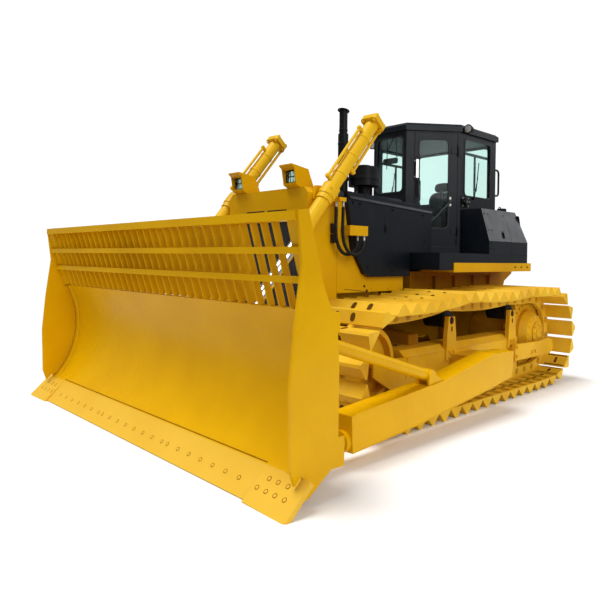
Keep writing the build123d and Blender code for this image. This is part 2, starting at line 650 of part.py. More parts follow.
def track_frame():
    """Box beam with the idler's yoke in front, roller guards below and the push arm's trunnion outside."""
    x0, x1 = TRACK_X - FRAME_HALF_WIDTH, TRACK_X + FRAME_HALF_WIDTH
    front = IDLER_STATION + IDLER_PITCH_RADIUS - CHAIN_INNER + IDLER_FLANGE + IDLER_GAP
    frame = front_profile([
        (x0, FRAME_BOTTOM), (x0, FRAME_SHOULDER), (x0 + FRAME_BEVEL, FRAME_TOP),
        (x1 - FRAME_BEVEL, FRAME_TOP), (x1, FRAME_SHOULDER), (x1, FRAME_BOTTOM),
    ], front, FRAME_REAR_STATION)
    guard_bottom = GROUND_RAIL_HEIGHT + GUARD_LIP
    cheek_top = FRAME_SHOULDER - 4
    for a, b in ((x0, x0 + FRAME_CHEEK), (x1 - FRAME_CHEEK, x1)):
        frame = frame + side_profile([
            (IDLER_STATION - 60, IDLER_HEIGHT - 110), (IDLER_STATION - 60, IDLER_HEIGHT + 60),
            (front + 10, cheek_top), (FRAME_REAR_STATION - 10, cheek_top),
            (FRAME_REAR_STATION - 10, guard_bottom), (front - 60, guard_bottom),
        ], a, b)
    for station in CARRIER_STATIONS:
        frame = frame + carrier_post(station, x1)
    frame = frame - cylinder_x(x0 - CUT, x1 + CUT, IDLER_STATION, IDLER_HEIGHT, AXLE_RADIUS + SEAT)
    foot = TRUNNION_RADIUS + TRUNNION_COLLAR + 105
    beam = side_profile([
        (ARM_PIVOT_STATION - foot, ARM_PIVOT_HEIGHT - 120), (ARM_PIVOT_STATION - foot, ARM_PIVOT_HEIGHT + 90),
        (ARM_PIVOT_STATION + foot, ARM_PIVOT_HEIGHT + 90), (ARM_PIVOT_STATION + foot, ARM_PIVOT_HEIGHT - 120),
    ], x1 - 10, TRACK_OUTER_X)
    root = TRACK_OUTER_X - CUT
    collar = cylinder_x(root, ARM_INNER_X - CLEAR, ARM_PIVOT_STATION, ARM_PIVOT_HEIGHT, TRUNNION_RADIUS + TRUNNION_COLLAR)
    trunnion = cylinder_x(root, ARM_OUTER_X - ARM_EYE_COVER - CLEAR, ARM_PIVOT_STATION, ARM_PIVOT_HEIGHT, TRUNNION_RADIUS)
    outrigger = side_profile(FRAME_TAIL_OUTLINE, FRAME_TAIL_X - FRAME_TAIL_PLATE, FRAME_TAIL_X)
    bridge = block(x1 - 10, FRAME_TAIL_X - 10, st(FRAME_TAIL_OUTLINE[0][0] + 20), st(FRAME_REAR_STATION - 20),
                   FRAME_BOTTOM + 20, FRAME_SHOULDER - 100)
    return frame + beam + collar + trunnion + outrigger + bridge


# ---- hull, engine and drawbar ----
REAR_CASE_TOP = HULL_TOP - 20.0


def main_frame():
    """Belly rails from the radiator guard back to the steering case between the final drives."""
    top = GUARD_BOTTOM - SEAT
    tray = side_profile([
        (GUARD_FRONT_STATION + 60, GUARD_BOTTOM - 120), (GUARD_REAR_STATION + 80, RAIL_BOTTOM),
        (REAR_CASE_STATION, RAIL_BOTTOM), (REAR_CASE_STATION + REAR_CASE_STEP, REAR_CASE_BOTTOM),
        (HULL_REAR_STATION - 130, REAR_CASE_BOTTOM), (HULL_REAR_STATION, REAR_CASE_BOTTOM + 160),
        (HULL_REAR_STATION, HULL_TOP), (REAR_CASE_STATION, HULL_TOP), (REAR_CASE_STATION, top),
        (GUARD_FRONT_STATION + 60, top),
    ], -RAIL_X, RAIL_X)
    well = RAIL_X - RAIL_WALL
    tray = tray - block(-well, well, st(GUARD_REAR_STATION + 120), st(REAR_CASE_STATION - 100),
                        RAIL_BOTTOM + 60, GUARD_BOTTOM + CUT)
    case = block(-HULL_HALF_WIDTH, HULL_HALF_WIDTH, st(REAR_CASE_STATION + 260), st(HULL_REAR_STATION - 70),
                 REAR_CASE_BOTTOM + 40, REAR_CASE_TOP)
    node("main_frame", tray + case)


def engine():
    s0, s1 = ENGINE_STATIONS
    node("engine_block", block(-ENGINE_HALF_WIDTH, ENGINE_HALF_WIDTH, st(s0), st(s1), GUARD_BOTTOM, ENGINE_TOP))
    s0, s1 = RADIATOR_STATIONS
    foot = GUARD_BOTTOM + GUARD_CORNER + SEAT
    node("radiator", block(-RADIATOR_HALF_WIDTH, RADIATOR_HALF_WIDTH, st(s0), st(s1), foot, RADIATOR_TOP))


def equalizer_bar():
    """Beam through the frame that rests on both track frames."""
    end = TRACK_X - FRAME_HALF_WIDTH + EQUALIZER_LAP
    foot = FRAME_TOP + SEAT
    knee = RAIL_X + EQUALIZER_LAP
    s0, s1 = EQUALIZER_STATION - EQUALIZER_HALF_DEPTH, EQUALIZER_STATION + EQUALIZER_HALF_DEPTH
    beam = front_profile([
        (-end, foot), (-end, FRAME_TOP + 110), (-knee, FRAME_TOP + EQUALIZER_RISE),
        (knee, FRAME_TOP + EQUALIZER_RISE), (end, FRAME_TOP + 110), (end, foot),
    ], s0, s1)
    gap = RAIL_X + SEAT
    beam = beam - block(-gap, gap, st(s0) - CUT, st(s1) + CUT, FRAME_TOP - CUT, GUARD_BOTTOM - SEAT)
    node("equalizer_bar", beam)


def drawbar():
    """Fixed drawbar behind the hull, with a jaw and a hole for a hitch pin."""
    foot = HULL_REAR_STATION + SEAT
    low, high = DRAWBAR_HEIGHT - DRAWBAR_HALF_DEPTH, DRAWBAR_HEIGHT + DRAWBAR_HALF_DEPTH
    neck = TIP_TO_TAIL - 80
    hitch = side_profile([
        (foot, low), (neck, low), (TIP_TO_TAIL, low + 40), (TIP_TO_TAIL, high - 40), (neck, high), (foot, high),
    ], -DRAWBAR_HALF_WIDTH, DRAWBAR_HALF_WIDTH)
    reach = DRAWBAR_HALF_WIDTH + CUT
    hitch = hitch - block(-reach, reach, st(TIP_TO_TAIL - DRAWBAR_JAW_DEPTH), st(TIP_TO_TAIL + CUT),
                          DRAWBAR_HEIGHT - DRAWBAR_JAW, DRAWBAR_HEIGHT + DRAWBAR_JAW)
    hitch = hitch - cylinder_z(0, TIP_TO_TAIL - DRAWBAR_PIN_BACK, low - CUT, high + CUT, DRAWBAR_PIN_RADIUS)
    node("drawbar", hitch)


# ---- front: radiator guard and hood ----
def guard_section(inset, foot):
    """The guard's outline seen from the front, drawn in by an inset; the hood goes on with it."""
    w = GUARD_HALF_WIDTH - inset
    top = GUARD_TOP - inset
    corner = GUARD_CORNER - inset * (2 - math.sqrt(2))
    return [(-w, foot), (w, foot), (w, top - corner), (w - corner, top), (-w + corner, top), (-w, top - corner)]


def radiator_guard():
    """Box round the radiator: slots and a mesh window in its front, a block for each lift cylinder."""
    shell = front_profile(guard_section(0, GUARD_BOTTOM), GUARD_FRONT_STATION, GUARD_REAR_STATION)
    shell = shell - front_profile(guard_section(GUARD_SHEET, GUARD_BOTTOM + GUARD_CORNER),
                                  GUARD_FRONT_STATION + GUARD_SHEET, GUARD_REAR_STATION + CUT)
    face = (st(GUARD_FRONT_STATION - CUT), st(GUARD_FRONT_STATION + GUARD_CORNER))
    window = GUARD_HALF_WIDTH - GUARD_WINDOW_MARGIN
    shell = shell - block(-window, window, *face, GUARD_BOTTOM + GUARD_WINDOW_SILL, GUARD_WINDOW_TOP)
    x0, x1, z0, z1 = GUARD_SLOT
    reach = LIFT_X - BARREL_RADIUS - YOKE_COLLAR - CLEAR - 8
    for side in (-1, 1):
        shell = shell - block(x0 * side, x1 * side, *face, z0, z1)
        seat_block = side_profile([
            (TRUNNION_STATION - 95, TRUNNION_HEIGHT - 60), (TRUNNION_STATION - 60, TRUNNION_HEIGHT + 75),
            (TRUNNION_STATION + 60, TRUNNION_HEIGHT + 75), (TRUNNION_STATION + 110, TRUNNION_HEIGHT - 90),
            (TRUNNION_STATION, TRUNNION_HEIGHT - 150),
        ], GUARD_HALF_WIDTH - 10, reach)
        shell = shell + (seat_block if side > 0 else mirror(seat_block, about=Plane.YZ))
        inner = side * (GUARD_HALF_WIDTH + CLEAR - 2)
        shell = shell - cylinder_x(inner, side * LIFT_X, TRUNNION_STATION, TRUNNION_HEIGHT, LIFT_PIN_RADIUS + PIN_FIT)
    node("radiator_guard", shell)
    mesh = GUARD_HALF_WIDTH - GUARD_SHEET - CLEAR
    front = GUARD_FRONT_STATION + GUARD_SHEET
    node("grille", block(-mesh, mesh, st(front + SEAT), st(front + SEAT + GRILLE_DEPTH),
                         GUARD_BOTTOM + GUARD_WINDOW_SILL - GRILLE_RIM, GUARD_WINDOW_TOP + 10))


def hood():
    """The hood's folded sheet behind the guard, and a flat sheet under each of its sides."""
    foot = GUARD_TOP - HOOD_EDGE
    start = GUARD_REAR_STATION + SEAT
    top = front_profile(guard_section(0, foot), start, HOOD_REAR_STATION)
    top = top - front_profile(guard_section(HOOD_SHEET, foot - CUT), start - CUT, HOOD_REAR_STATION + CUT)
    node("hood", top)
    sheet = block(GUARD_HALF_WIDTH - HOOD_SHEET, GUARD_HALF_WIDTH, st(start), st(HOOD_REAR_STATION),
                  HOOD_SIDE_BOTTOM, foot - SEAT)
    node("hood_sides", left_right(sheet))


def lamps():
    """Hooded boxes on the guard with a lamp in each."""
    foot = GUARD_TOP + SEAT
    top = GUARD_TOP + LAMP_BOX_TOP
    tip = GUARD_FRONT_STATION - LAMP_VISOR
    x0, x1 = LAMP_X - LAMP_HALF_WIDTH, LAMP_X + LAMP_HALF_WIDTH
    box = side_profile([
        (GUARD_FRONT_STATION + 4, foot), (tip + 66, GUARD_TOP + 26), (tip + 34, top - 40), (tip, top - 14), (tip, top),
        (GUARD_FRONT_STATION + 120, top - 34), (GUARD_FRONT_STATION + 210, foot),
    ], x0, x1)
    sheet = LAMP_BOX_SHEET
    pocket = side_profile([
        (tip - CUT, GUARD_TOP + 46), (tip - CUT, top - 52), (GUARD_FRONT_STATION + 60, top - 52),
        (GUARD_FRONT_STATION + 60, GUARD_TOP + 46),
    ], x0 + sheet, x1 - sheet)
    middle = (2 * GUARD_TOP + LAMP_BOX_TOP) / 2 - 3
    lamp = block(LAMP_X - LAMP_HALF, LAMP_X + LAMP_HALF, st(GUARD_FRONT_STATION - CUT),
                 st(GUARD_FRONT_STATION + 60 - SEAT), middle - LAMP_HALF, middle + LAMP_HALF)
    node("lamp_boxes", left_right(box - pocket))
    node("lamps", left_right(lamp))


# ---- exhaust and air cleaner ----
def stacks():
    foot = GUARD_TOP + SEAT
    pipe = cylinder_z(EXHAUST_X, EXHAUST_STATION, foot, EXHAUST_JOINT, EXHAUST_RADIUS)
    pipe = pipe + cylinder_z(EXHAUST_X, EXHAUST_STATION, EXHAUST_JOINT - 8, EXHAUST_TOP, EXHAUST_PIPE_RADIUS)
    pipe = pipe - cylinder_z(EXHAUST_X, EXHAUST_STATION, EXHAUST_TOP - 60, EXHAUST_TOP + CUT, EXHAUST_PIPE_RADIUS - 6)
    # the rain cap hangs over the pipe's mouth, a little open towards the rear
    cap = Pos(EXHAUST_X, st(EXHAUST_STATION), EXHAUST_TOP) * Rot(-14, 0, 0) * Cylinder(RAIN_CAP_RADIUS, 9)
    node("exhaust_stack", pipe + cap)
    low, high = CLEANER_HEIGHTS
    drum = cylinder_z(CLEANER_X, CLEANER_STATION, low, high, CLEANER_RADIUS)
    drum = drum + cylinder_z(CLEANER_X, CLEANER_STATION, low + 70, low + 70 + CLEANER_COLLAR, CLEANER_RADIUS + 8)
    drum = drum + cylinder_z(CLEANER_X, CLEANER_STATION, high - 4, high + 26, CLEANER_PIPE_RADIUS)
    drum = drum + cylinder_z(CLEANER_X, CLEANER_STATION, foot, low + 5, CLEANER_PIPE_RADIUS)
    for side in (-1, 1):
        drum = drum + cylinder_z(CLEANER_X, CLEANER_STATION + side * (CLEANER_RADIUS - 32), foot, low + 5, 16)
    node("air_cleaner", drum)


# ---- decks, boxes and tank ----
STRIP_BOTTOM = PLATFORM_BOTTOM - STRIP_DROP
STRIP_REAR_STATION = PLATFORM_REAR_STATION + STRIP_OVERHANG


def dash_boxes():
    """Black boxes beside the hood that end in a foot under the deck, with a band along the upper edge."""
    inner = GUARD_HALF_WIDTH + DASH_GAP
    shoulder, drop = DASH_SHOULDER
    top = [
        (DASH_FRONT_STATION, GUARD_TOP - DASH_DROP), (shoulder, GUARD_TOP - drop),
        (DASH_REAR_STATION, GUARD_TOP - DASH_REAR_DROP),
    ]
    foot = [(DASH_REAR_STATION, PLATFORM_TOP + SEAT), (PLATFORM_FRONT_STATION - 7, PLATFORM_TOP + SEAT),
            (PLATFORM_FRONT_STATION - 7, DASH_BOTTOM)]
    panel = side_profile(top + foot + list(reversed(DASH_FOOT_LINE)), inner, DASH_HALF_WIDTH)
    lower = [(s, z - DASH_BAND) for s, z in reversed(top)]
    band = side_profile(top + lower, DASH_HALF_WIDTH - 1, DASH_HALF_WIDTH + DASH_BAND_THICKNESS)
    node("dash_boxes", left_right(panel + band))


def platform():
    """Deck between the tracks' fenders, the strips along its sides and the carrier under it."""
    w = PLATFORM_HALF_WIDTH
    node("platform", block(-w, w, st(PLATFORM_FRONT_STATION), st(PLATFORM_REAR_STATION), PLATFORM_BOTTOM, PLATFORM_TOP))
    stations = (st(STRIP_FRONT_STATION), st(STRIP_REAR_STATION))
    strip = block(CASE_HALF_WIDTH - STRIP_LAP, w + STRIP_SHEET, *stations, STRIP_BOTTOM, PLATFORM_BOTTOM - SEAT)
    lip = block(w + SEAT, w + STRIP_SHEET, *stations, STRIP_BOTTOM, STRIP_BOTTOM + STRIP_HEIGHT)
    node("fender_rails", left_right(strip + lip))
    rear = [(s, CASE_BOTTOM + rise) for s, rise in CASE_REAR_LINE]
    end = rear[-1][0]
    case = side_profile([
        (CASE_FRONT_STATION, CASE_BOTTOM), *rear, (end, STRIP_BOTTOM - SEAT), (CASE_FRONT_STATION, STRIP_BOTTOM - SEAT),
    ], -CASE_HALF_WIDTH, CASE_HALF_WIDTH)
    for a, b in zip(CASE_RIB_STATIONS, CASE_RIB_STATIONS[1:]):
        for side in (-1, 1):
            case = case - block(side * (CASE_HALF_WIDTH - CASE_PANEL_INSET), side * (CASE_HALF_WIDTH + CUT),
                                st(a + CASE_RIB), st(b - CASE_RIB), CASE_BOTTOM + CASE_FLANGE,
                                STRIP_BOTTOM - CASE_FLANGE)
    node("deck_carrier", case)


def side_boxes():
    """Boxes beside the cab and the tank behind it, all with slanted upper sides."""
    w, top_w = PLATFORM_HALF_WIDTH, BOX_TOP_HALF_WIDTH
    inner = CAB_HALF_WIDTH + BOX_CAB_GAP
    foot = PLATFORM_TOP + SEAT
    node("side_boxes", left_right(front_profile([
        (inner, foot), (w, foot), (w, BOX_WAIST), (top_w, BOX_TOP), (inner, BOX_TOP),
    ], BOX_FRONT_STATION, BOX_SEAM_STATION)))
    tank = front_profile([
        (-w, foot), (w, foot), (w, BOX_WAIST), (top_w, BOX_TOP), (-top_w, BOX_TOP), (-w, BOX_WAIST),
    ], BOX_SEAM_STATION + BOX_SEAM, PLATFORM_REAR_STATION)
    tank = tank - block(-inner, inner, st(BOX_SEAM_STATION - CUT), st(CAB_REAR_STATION + BOX_CAB_GAP),
                        PLATFORM_TOP - CUT, BOX_TOP + CUT)
    tank = tank - side_profile([
        (PLATFORM_REAR_STATION + 1, BOX_WAIST), (PLATFORM_REAR_STATION - TANK_REAR_SLOPE, BOX_TOP + 1),
        (PLATFORM_REAR_STATION + 1, BOX_TOP + 1),
    ], -w - CUT, w + CUT)
    tank = tank + cylinder_z(FILLER_X, FILLER_STATION, BOX_TOP - 10, BOX_TOP + FILLER_HEIGHT, FILLER_RADIUS)
    node("fuel_tank", tank)


# ---- cab ----
def cab_outline(inset=0.0):
    """The cab's six corners in plan, drawn in by an inset, as (x, station)."""
    corners = [
        (CAB_FRONT_HALF_WIDTH, CAB_FRONT_STATION), (CAB_HALF_WIDTH, CAB_SHOULDER_STATION),
        (CAB_HALF_WIDTH, CAB_REAR_STATION), (-CAB_HALF_WIDTH, CAB_REAR_STATION),
        (-CAB_HALF_WIDTH, CAB_SHOULDER_STATION), (-CAB_FRONT_HALF_WIDTH, CAB_FRONT_STATION),
    ]
    result = []
    for i, (x, s) in enumerate(corners):
        (xa, sa), (xb, sb) = corners[i - 1], corners[(i + 1) % 6]
        da = math.hypot(x - xa, s - sa)
        db = math.hypot(xb - x, sb - s)
        na = ((sa - s) / da, (x - xa) / da)
        nb = ((s - sb) / db, (xb - x) / db)
        k = inset / (1 + na[0] * nb[0] + na[1] * nb[1])
        result.append((x + (na[0] + nb[0]) * k, s + (na[1] + nb[1]) * k))
    return result


def wall_point(a, b, along, depth):
    """Plan point in the wall between corners a and b, behind its outer face by a depth."""
    length = math.hypot(b[0] - a[0], b[1] - a[1])
    ux, us = (b[0] - a[0]) / length, (b[1] - a[1]) / length
    return (a[0] + ux * along - us * depth, a[1] + us * along + ux * depth)


def wall_panel(a, b, from_a, to_b, z0, z1, depth0, depth1, round_by=0.0):
    """A block in the wall between corners a and b, with its four corners rounded where it is a window."""
    end = math.hypot(b[0] - a[0], b[1] - a[1]) - to_b
    plan = [wall_point(a, b, along, depth)
            for along, depth in ((from_a, depth0), (end, depth0), (end, depth1), (from_a, depth1))]
    panel = plan_profile(plan, z0, z1)
    if round_by:
        through = [e for e in panel.edges() if abs(e.length - abs(depth1 - depth0)) < 1]
        panel = fillet(through, round_by)
    return panel


def door_hinges(b, c):
    """Each hinge has a pin held by two brackets on the pillar, and a knuckle on the door between them."""
    length = math.hypot(c[0] - b[0], c[1] - b[1])
    pin = wall_point(b, c, length - DOOR_MARGIN_REAR, -HINGE_STANDOFF)
    leaf_depth = 4 - HINGE_STANDOFF
    brackets = []
    knuckles = []
    for z in HINGE_HEIGHTS:
        brackets.append(cylinder_z(*pin, z - HINGE_HALF_HEIGHT, z + HINGE_HALF_HEIGHT, HINGE_PIN_RADIUS))
        for low, high in ((-HINGE_HALF_HEIGHT, -HINGE_KNUCKLE - SEAT), (HINGE_KNUCKLE + SEAT, HINGE_HALF_HEIGHT)):
            brackets.append(wall_panel(b, c, length - DOOR_MARGIN_REAR - 4, 6, z + low, z + high,
                                       -HINGE_STANDOFF - 4, 4))
        knuckle = cylinder_z(*pin, z - HINGE_KNUCKLE, z + HINGE_KNUCKLE, HINGE_STANDOFF - 1)
        leaf = wall_panel(b, c, length - DOOR_MARGIN_REAR - HINGE_LEAF, DOOR_MARGIN_REAR + 2,
                          z - HINGE_KNUCKLE, z + HINGE_KNUCKLE, leaf_depth, 0)
        bore = cylinder_z(*pin, z - HINGE_HALF_HEIGHT, z + HINGE_HALF_HEIGHT, HINGE_PIN_RADIUS + SEAT)
        knuckles.append(knuckle + leaf - bore)
    return Part() + brackets, Part() + knuckles


def cab():
    floor = PLATFORM_TOP + CAB_FLOOR
    shell = plan_profile(cab_outline(), PLATFORM_TOP + SEAT, CAB_TOP)
    shell = shell - plan_profile(cab_outline(CAB_WALL), floor, CAB_TOP + CUT)
    b, c, d, d2, c2, a = cab_outline()
    ahead, behind = SIDE_GLASS_MARGINS
    windows = [
        # corner, corner, margin, margin, sill
        (a, b, FRONT_GLASS_MARGIN, FRONT_GLASS_MARGIN, FRONT_GLASS_SILL),
        (c, d, ahead, behind, SIDE_GLASS_SILL),
        (d2, c2, behind, ahead, SIDE_GLASS_SILL),
        (d, d2, REAR_GLASS_MARGIN, REAR_GLASS_MARGIN, SIDE_GLASS_SILL),
    ]
    pane_back = GLASS_INSET + GLASS_THICKNESS
    panes = []
    for p, q, m0, m1, sill in windows:
        shell = shell - wall_panel(p, q, m0, m1, sill, WINDOW_HEAD, -CUT, CAB_WALL + CUT, WINDOW_ROUND)
        panes.append(wall_panel(p, q, m0 + SEAT, m1 + SEAT, sill + SEAT, WINDOW_HEAD - SEAT,
                                GLASS_INSET, pane_back, WINDOW_ROUND - SEAT))
    opening = wall_panel(b, c, DOOR_MARGIN_FRONT, DOOR_MARGIN_REAR, CAB_SILL, DOOR_TOP, -CUT, CAB_WALL + 1)
    shell = shell - left_right(opening)
    brackets, knuckles = door_hinges(b, c)
    node("cab_frame", shell + left_right(brackets))
    node("cab_glass", panes)
    door = wall_panel(b, c, DOOR_MARGIN_FRONT + CLEAR, DOOR_MARGIN_REAR + CLEAR, CAB_SILL + CLEAR,
                      DOOR_TOP - CLEAR, 0, DOOR_THICKNESS)
    front, rear = DOOR_MARGIN_FRONT + DOOR_GLASS_FRONT, DOOR_MARGIN_REAR + DOOR_GLASS_REAR
    door = door - wall_panel(b, c, front, rear, DOOR_GLASS_BOTTOM, DOOR_GLASS_TOP,
                             -CUT, DOOR_THICKNESS + CUT, WINDOW_ROUND)
    pair("door", door + knuckles)
    pair("door_glass", wall_panel(b, c, front + SEAT, rear + SEAT, DOOR_GLASS_BOTTOM + SEAT,
                                  DOOR_GLASS_TOP - SEAT, GLASS_INSET, pane_back, WINDOW_ROUND - SEAT))
    roof = plan_profile(cab_outline(-CAB_ROOF_EAVE), CAB_TOP + SEAT, CAB_TOP + CAB_ROOF_HEIGHT)
    roof = chamfer(roof.faces().sort_by(Axis.Z)[-1].edges(), CAB_ROOF_BEVEL)
    node("cab_roof", roof)


def door_handles():
    """Pull handle beside the door's glass, and the stay bar slanting across it."""
    b, c = cab_outline()[:2]

    def over_door(along, height, out):
        return (*wall_point(b, c, along, -out), height)

    def stand(along, height, reach, radius):
        return bar(over_door(along, height, SEAT), over_door(along, height, reach + radius / 2), radius)

    low, high = HANDLE_HEIGHTS
    half = HANDLE_WIDTH / 2
    grip = wall_panel(b, c, HANDLE_ALONG - half, math.hypot(c[0] - b[0], c[1] - b[1]) - HANDLE_ALONG - half,
                      low, high, -HANDLE_STANDOFF - 12, -HANDLE_STANDOFF)
    grip = grip + [stand(HANDLE_ALONG, z, HANDLE_STANDOFF, 10) for z in (low + 24, high - 24)]
    stay = bar(over_door(*STAY_START, STAY_STANDOFF), over_door(*STAY_END, STAY_STANDOFF), STAY_RADIUS)
    stay = stay + [stand(along, z, STAY_STANDOFF, STAY_RADIUS) for along, z in (STAY_START, STAY_END)]
    pair("door_handle", [grip, stay])


def cab_fittings():
    """Lamps at the cab's front shoulders and grab handles on its rear wall."""
    x = CAB_HALF_WIDTH + CAB_ROOF_EAVE + CAB_LAMP_RADIUS
    z = CAB_TOP + CAB_ROOF_HEIGHT / 2 - CAB_LAMP_DROP
    s = CAB_SHOULDER_STATION + CAB_LAMP_BACK
    lamp = Pos(x, st(s), z) * Rot(90, 0, 0) * Cone(CAB_LAMP_RADIUS - 18, CAB_LAMP_RADIUS, CAB_LAMP_DEPTH)
    arm = block(CAB_HALF_WIDTH + CAB_ROOF_EAVE + SEAT, x, st(s - 14), st(s + 14), CAB_TOP + 8, CAB_TOP + 44)
    node("cab_lamps", left_right(lamp + arm))
    low, high = GRAB_HEIGHTS
    foot = CAB_REAR_STATION + SEAT
    out = CAB_REAR_STATION + GRAB_REACH
    line = FilletPolyline((GRAB_X, st(foot), low), (GRAB_X, st(out), low), (GRAB_X, st(out), high),
                          (GRAB_X, st(foot), high), radius=GRAB_BEND)
    tube = sweep(Plane(origin=line @ 0, z_dir=line % 0) * Circle(GRAB_TUBE), path=line)
    node("handrails", left_right(tube))


def cab_inside():
    """Seat on its base, a console on each side of it and the dash behind the front window."""
    low, high = CUSHION_HEIGHTS
    s0, s1 = CUSHION_STATIONS
    floor = PLATFORM_TOP + CAB_FLOOR + SEAT
    cushion = block(-CUSHION_HALF_WIDTH, CUSHION_HALF_WIDTH, st(s0), st(s1), low, high)
    backrest = side_profile([(s, high + SEAT + rise) for s, rise in BACKREST_LINE],
                            -BACKREST_HALF_WIDTH, BACKREST_HALF_WIDTH)
    node("seat", cushion, backrest)
    half = SEAT_BASE_HALF
    node("seat_base", block(-half, half, st(SEAT_STATION - half), st(SEAT_STATION + half), floor, low - SEAT))
    s0, s1 = CONSOLE_STATIONS
    console = block(*CONSOLE_XS, st(s0), st(s1), floor, CONSOLE_TOP)
    d0, d1 = DASH_DEPTHS
    dash = block(-DASH_HALF_LENGTH, DASH_HALF_LENGTH, st(CAB_FRONT_STATION + d0), st(CAB_FRONT_STATION + d1),
                 floor, DASH_PANEL_TOP)
    node("consoles", left_right(console), dash)


# ---- blade ----
INNER_X = SIDE_PLATE_X - SIDE_PLATE_THICKNESS
END_BIT_X = BLADE_WIDTH / 2 - END_BIT_WIDTH


def moldboard_line(offset):
    """The moldboard's curved front line, moved back by an offset: its start, middle and end."""
    s0, z0, s1, z1 = EDGE_TOP_STATION, EDGE_TOP_HEIGHT, MOLDBOARD_TOP_STATION, MOLDBOARD_TOP_HEIGHT
    chord = math.hypot(s1 - s0, z1 - z0)
    radius = (chord * chord / 4 + MOLDBOARD_DEPTH ** 2) / (2 * MOLDBOARD_DEPTH)
    ns, nz = (z1 - z0) / chord, (s0 - s1) / chord
    cs = (s0 + s1) / 2 + ns * (MOLDBOARD_DEPTH - radius)
    cz = (z0 + z1) / 2 + nz * (MOLDBOARD_DEPTH - radius)
    half = math.asin(chord / 2 / radius)
    middle = math.atan2(nz, ns)
    return [(cs + (radius + offset) * math.cos(middle + turn), cz + (radius + offset) * math.sin(middle + turn))
            for turn in (-half, 0, half)]


def moldboard():
    p = [(SEAT - INNER_X, st(s), z) for s, z in moldboard_line(0)]
    q = [(SEAT - INNER_X, st(s), z) for s, z in moldboard_line(MOLDBOARD_THICKNESS)]
    face = make_face(Wire([ThreePointArc(*p), Line(p[2], q[2]), ThreePointArc(q[2], q[1], q[0]), Line(q[0], p[0])]))
    node("moldboard", extrude(face, amount=2 * (INNER_X - SEAT), dir=(1, 0, 0)))


def edge_plane(tip_station):
    """The plane of an edge's face from its tip up to the moldboard: its slope's cosine and sine, and length."""
    length = math.hypot(EDGE_TOP_STATION - tip_station, EDGE_TOP_HEIGHT)
    return (EDGE_TOP_STATION - tip_station) / length, EDGE_TOP_HEIGHT / length, length


def cutting_edge():
    """The straight edge and, beyond each of its ends, an end bit that reaches further forward and down."""
    us, uz, length = edge_plane(0)
    t = EDGE_THICKNESS
    top = (EDGE_TOP_STATION - us * SEAT, EDGE_TOP_HEIGHT - uz * SEAT)
    middle = side_profile([
        (EDGE_LIFT * us / uz, EDGE_LIFT), top, (top[0] + uz * t, top[1] - us * t), ((t + EDGE_LIFT * us) / uz, EDGE_LIFT),
    ], -END_BIT_X, END_BIT_X)
    us, uz, length = edge_plane(-END_BIT_REACH)
    x0, x1 = END_BIT_X + SEAT, BLADE_WIDTH / 2
    plane = Plane(origin=(0, st(-END_BIT_REACH), 0), x_dir=(1, 0, 0), z_dir=(0, -uz, us))
    sheet = make_face(Polyline((x0, EDGE_LIFT / uz), (x1, 0), (x1, length - SEAT), (x0, length - SEAT), close=True))
    corner = sheet.vertices().sort_by(lambda v: v.X - v.Y)[-1]
    sheet = fillet(corner, END_BIT_ROUND)
    bit = extrude(plane * sheet, amount=-END_BIT_THICKNESS)
    bit = bit - block(x0 - CUT, x1 + CUT, st(-END_BIT_REACH * 2), st(EDGE_TOP_STATION), -2 * END_BIT_THICKNESS, 0)
    node("cutting_edge", middle, left_right(bit))


def side_plates():
    """Plates that close the blade's ends, with room for the end bits cut in their front corners."""
    us, uz, length = edge_plane(-END_BIT_REACH)
    t = END_BIT_THICKNESS
    gap = 2.0
    plate = side_profile(SIDE_PLATE_OUTLINE, INNER_X, SIDE_PLATE_X)
    front = 30.0
    plate = plate - side_profile([
        (-4 * front, -2 * front), (EDGE_TOP_STATION - uz * front, EDGE_TOP_HEIGHT + us * front),
        (EDGE_TOP_STATION + us * gap + uz * (t + gap), EDGE_TOP_HEIGHT + uz * gap - us * (t + gap)),
        ((t + gap) / uz - END_BIT_REACH, 0), ((t + gap) / uz - END_BIT_REACH, -2 * front),
    ], INNER_X - CUT, SIDE_PLATE_X + CUT)
    node("side_plates", left_right(plate))


def behind_moldboard(solid):
    """What lies in front of the moldboard's back face is taken off a piece that is welded behind it."""
    reach = SIDE_PLATE_X + 10
    back = moldboard_line(MOLDBOARD_THICKNESS + SEAT)
    p = [(-reach, st(s), z) for s, z in back]
    low, high = back[0][1] - 500, back[2][1] + 400
    face = make_face(Wire([
        ThreePointArc(*p), Line(p[2], (-reach, p[2][1], high)), Line((-reach, p[2][1], high), (-reach, st(-400), high)),
        Line((-reach, st(-400), high), (-reach, st(-400), low)), Line((-reach, st(-400), low), (-reach, p[0][1], low)),
        Line((-reach, p[0][1], low), p[0]),
    ]))
    return solid - extrude(face, amount=2 * reach, dir=(1, 0, 0))


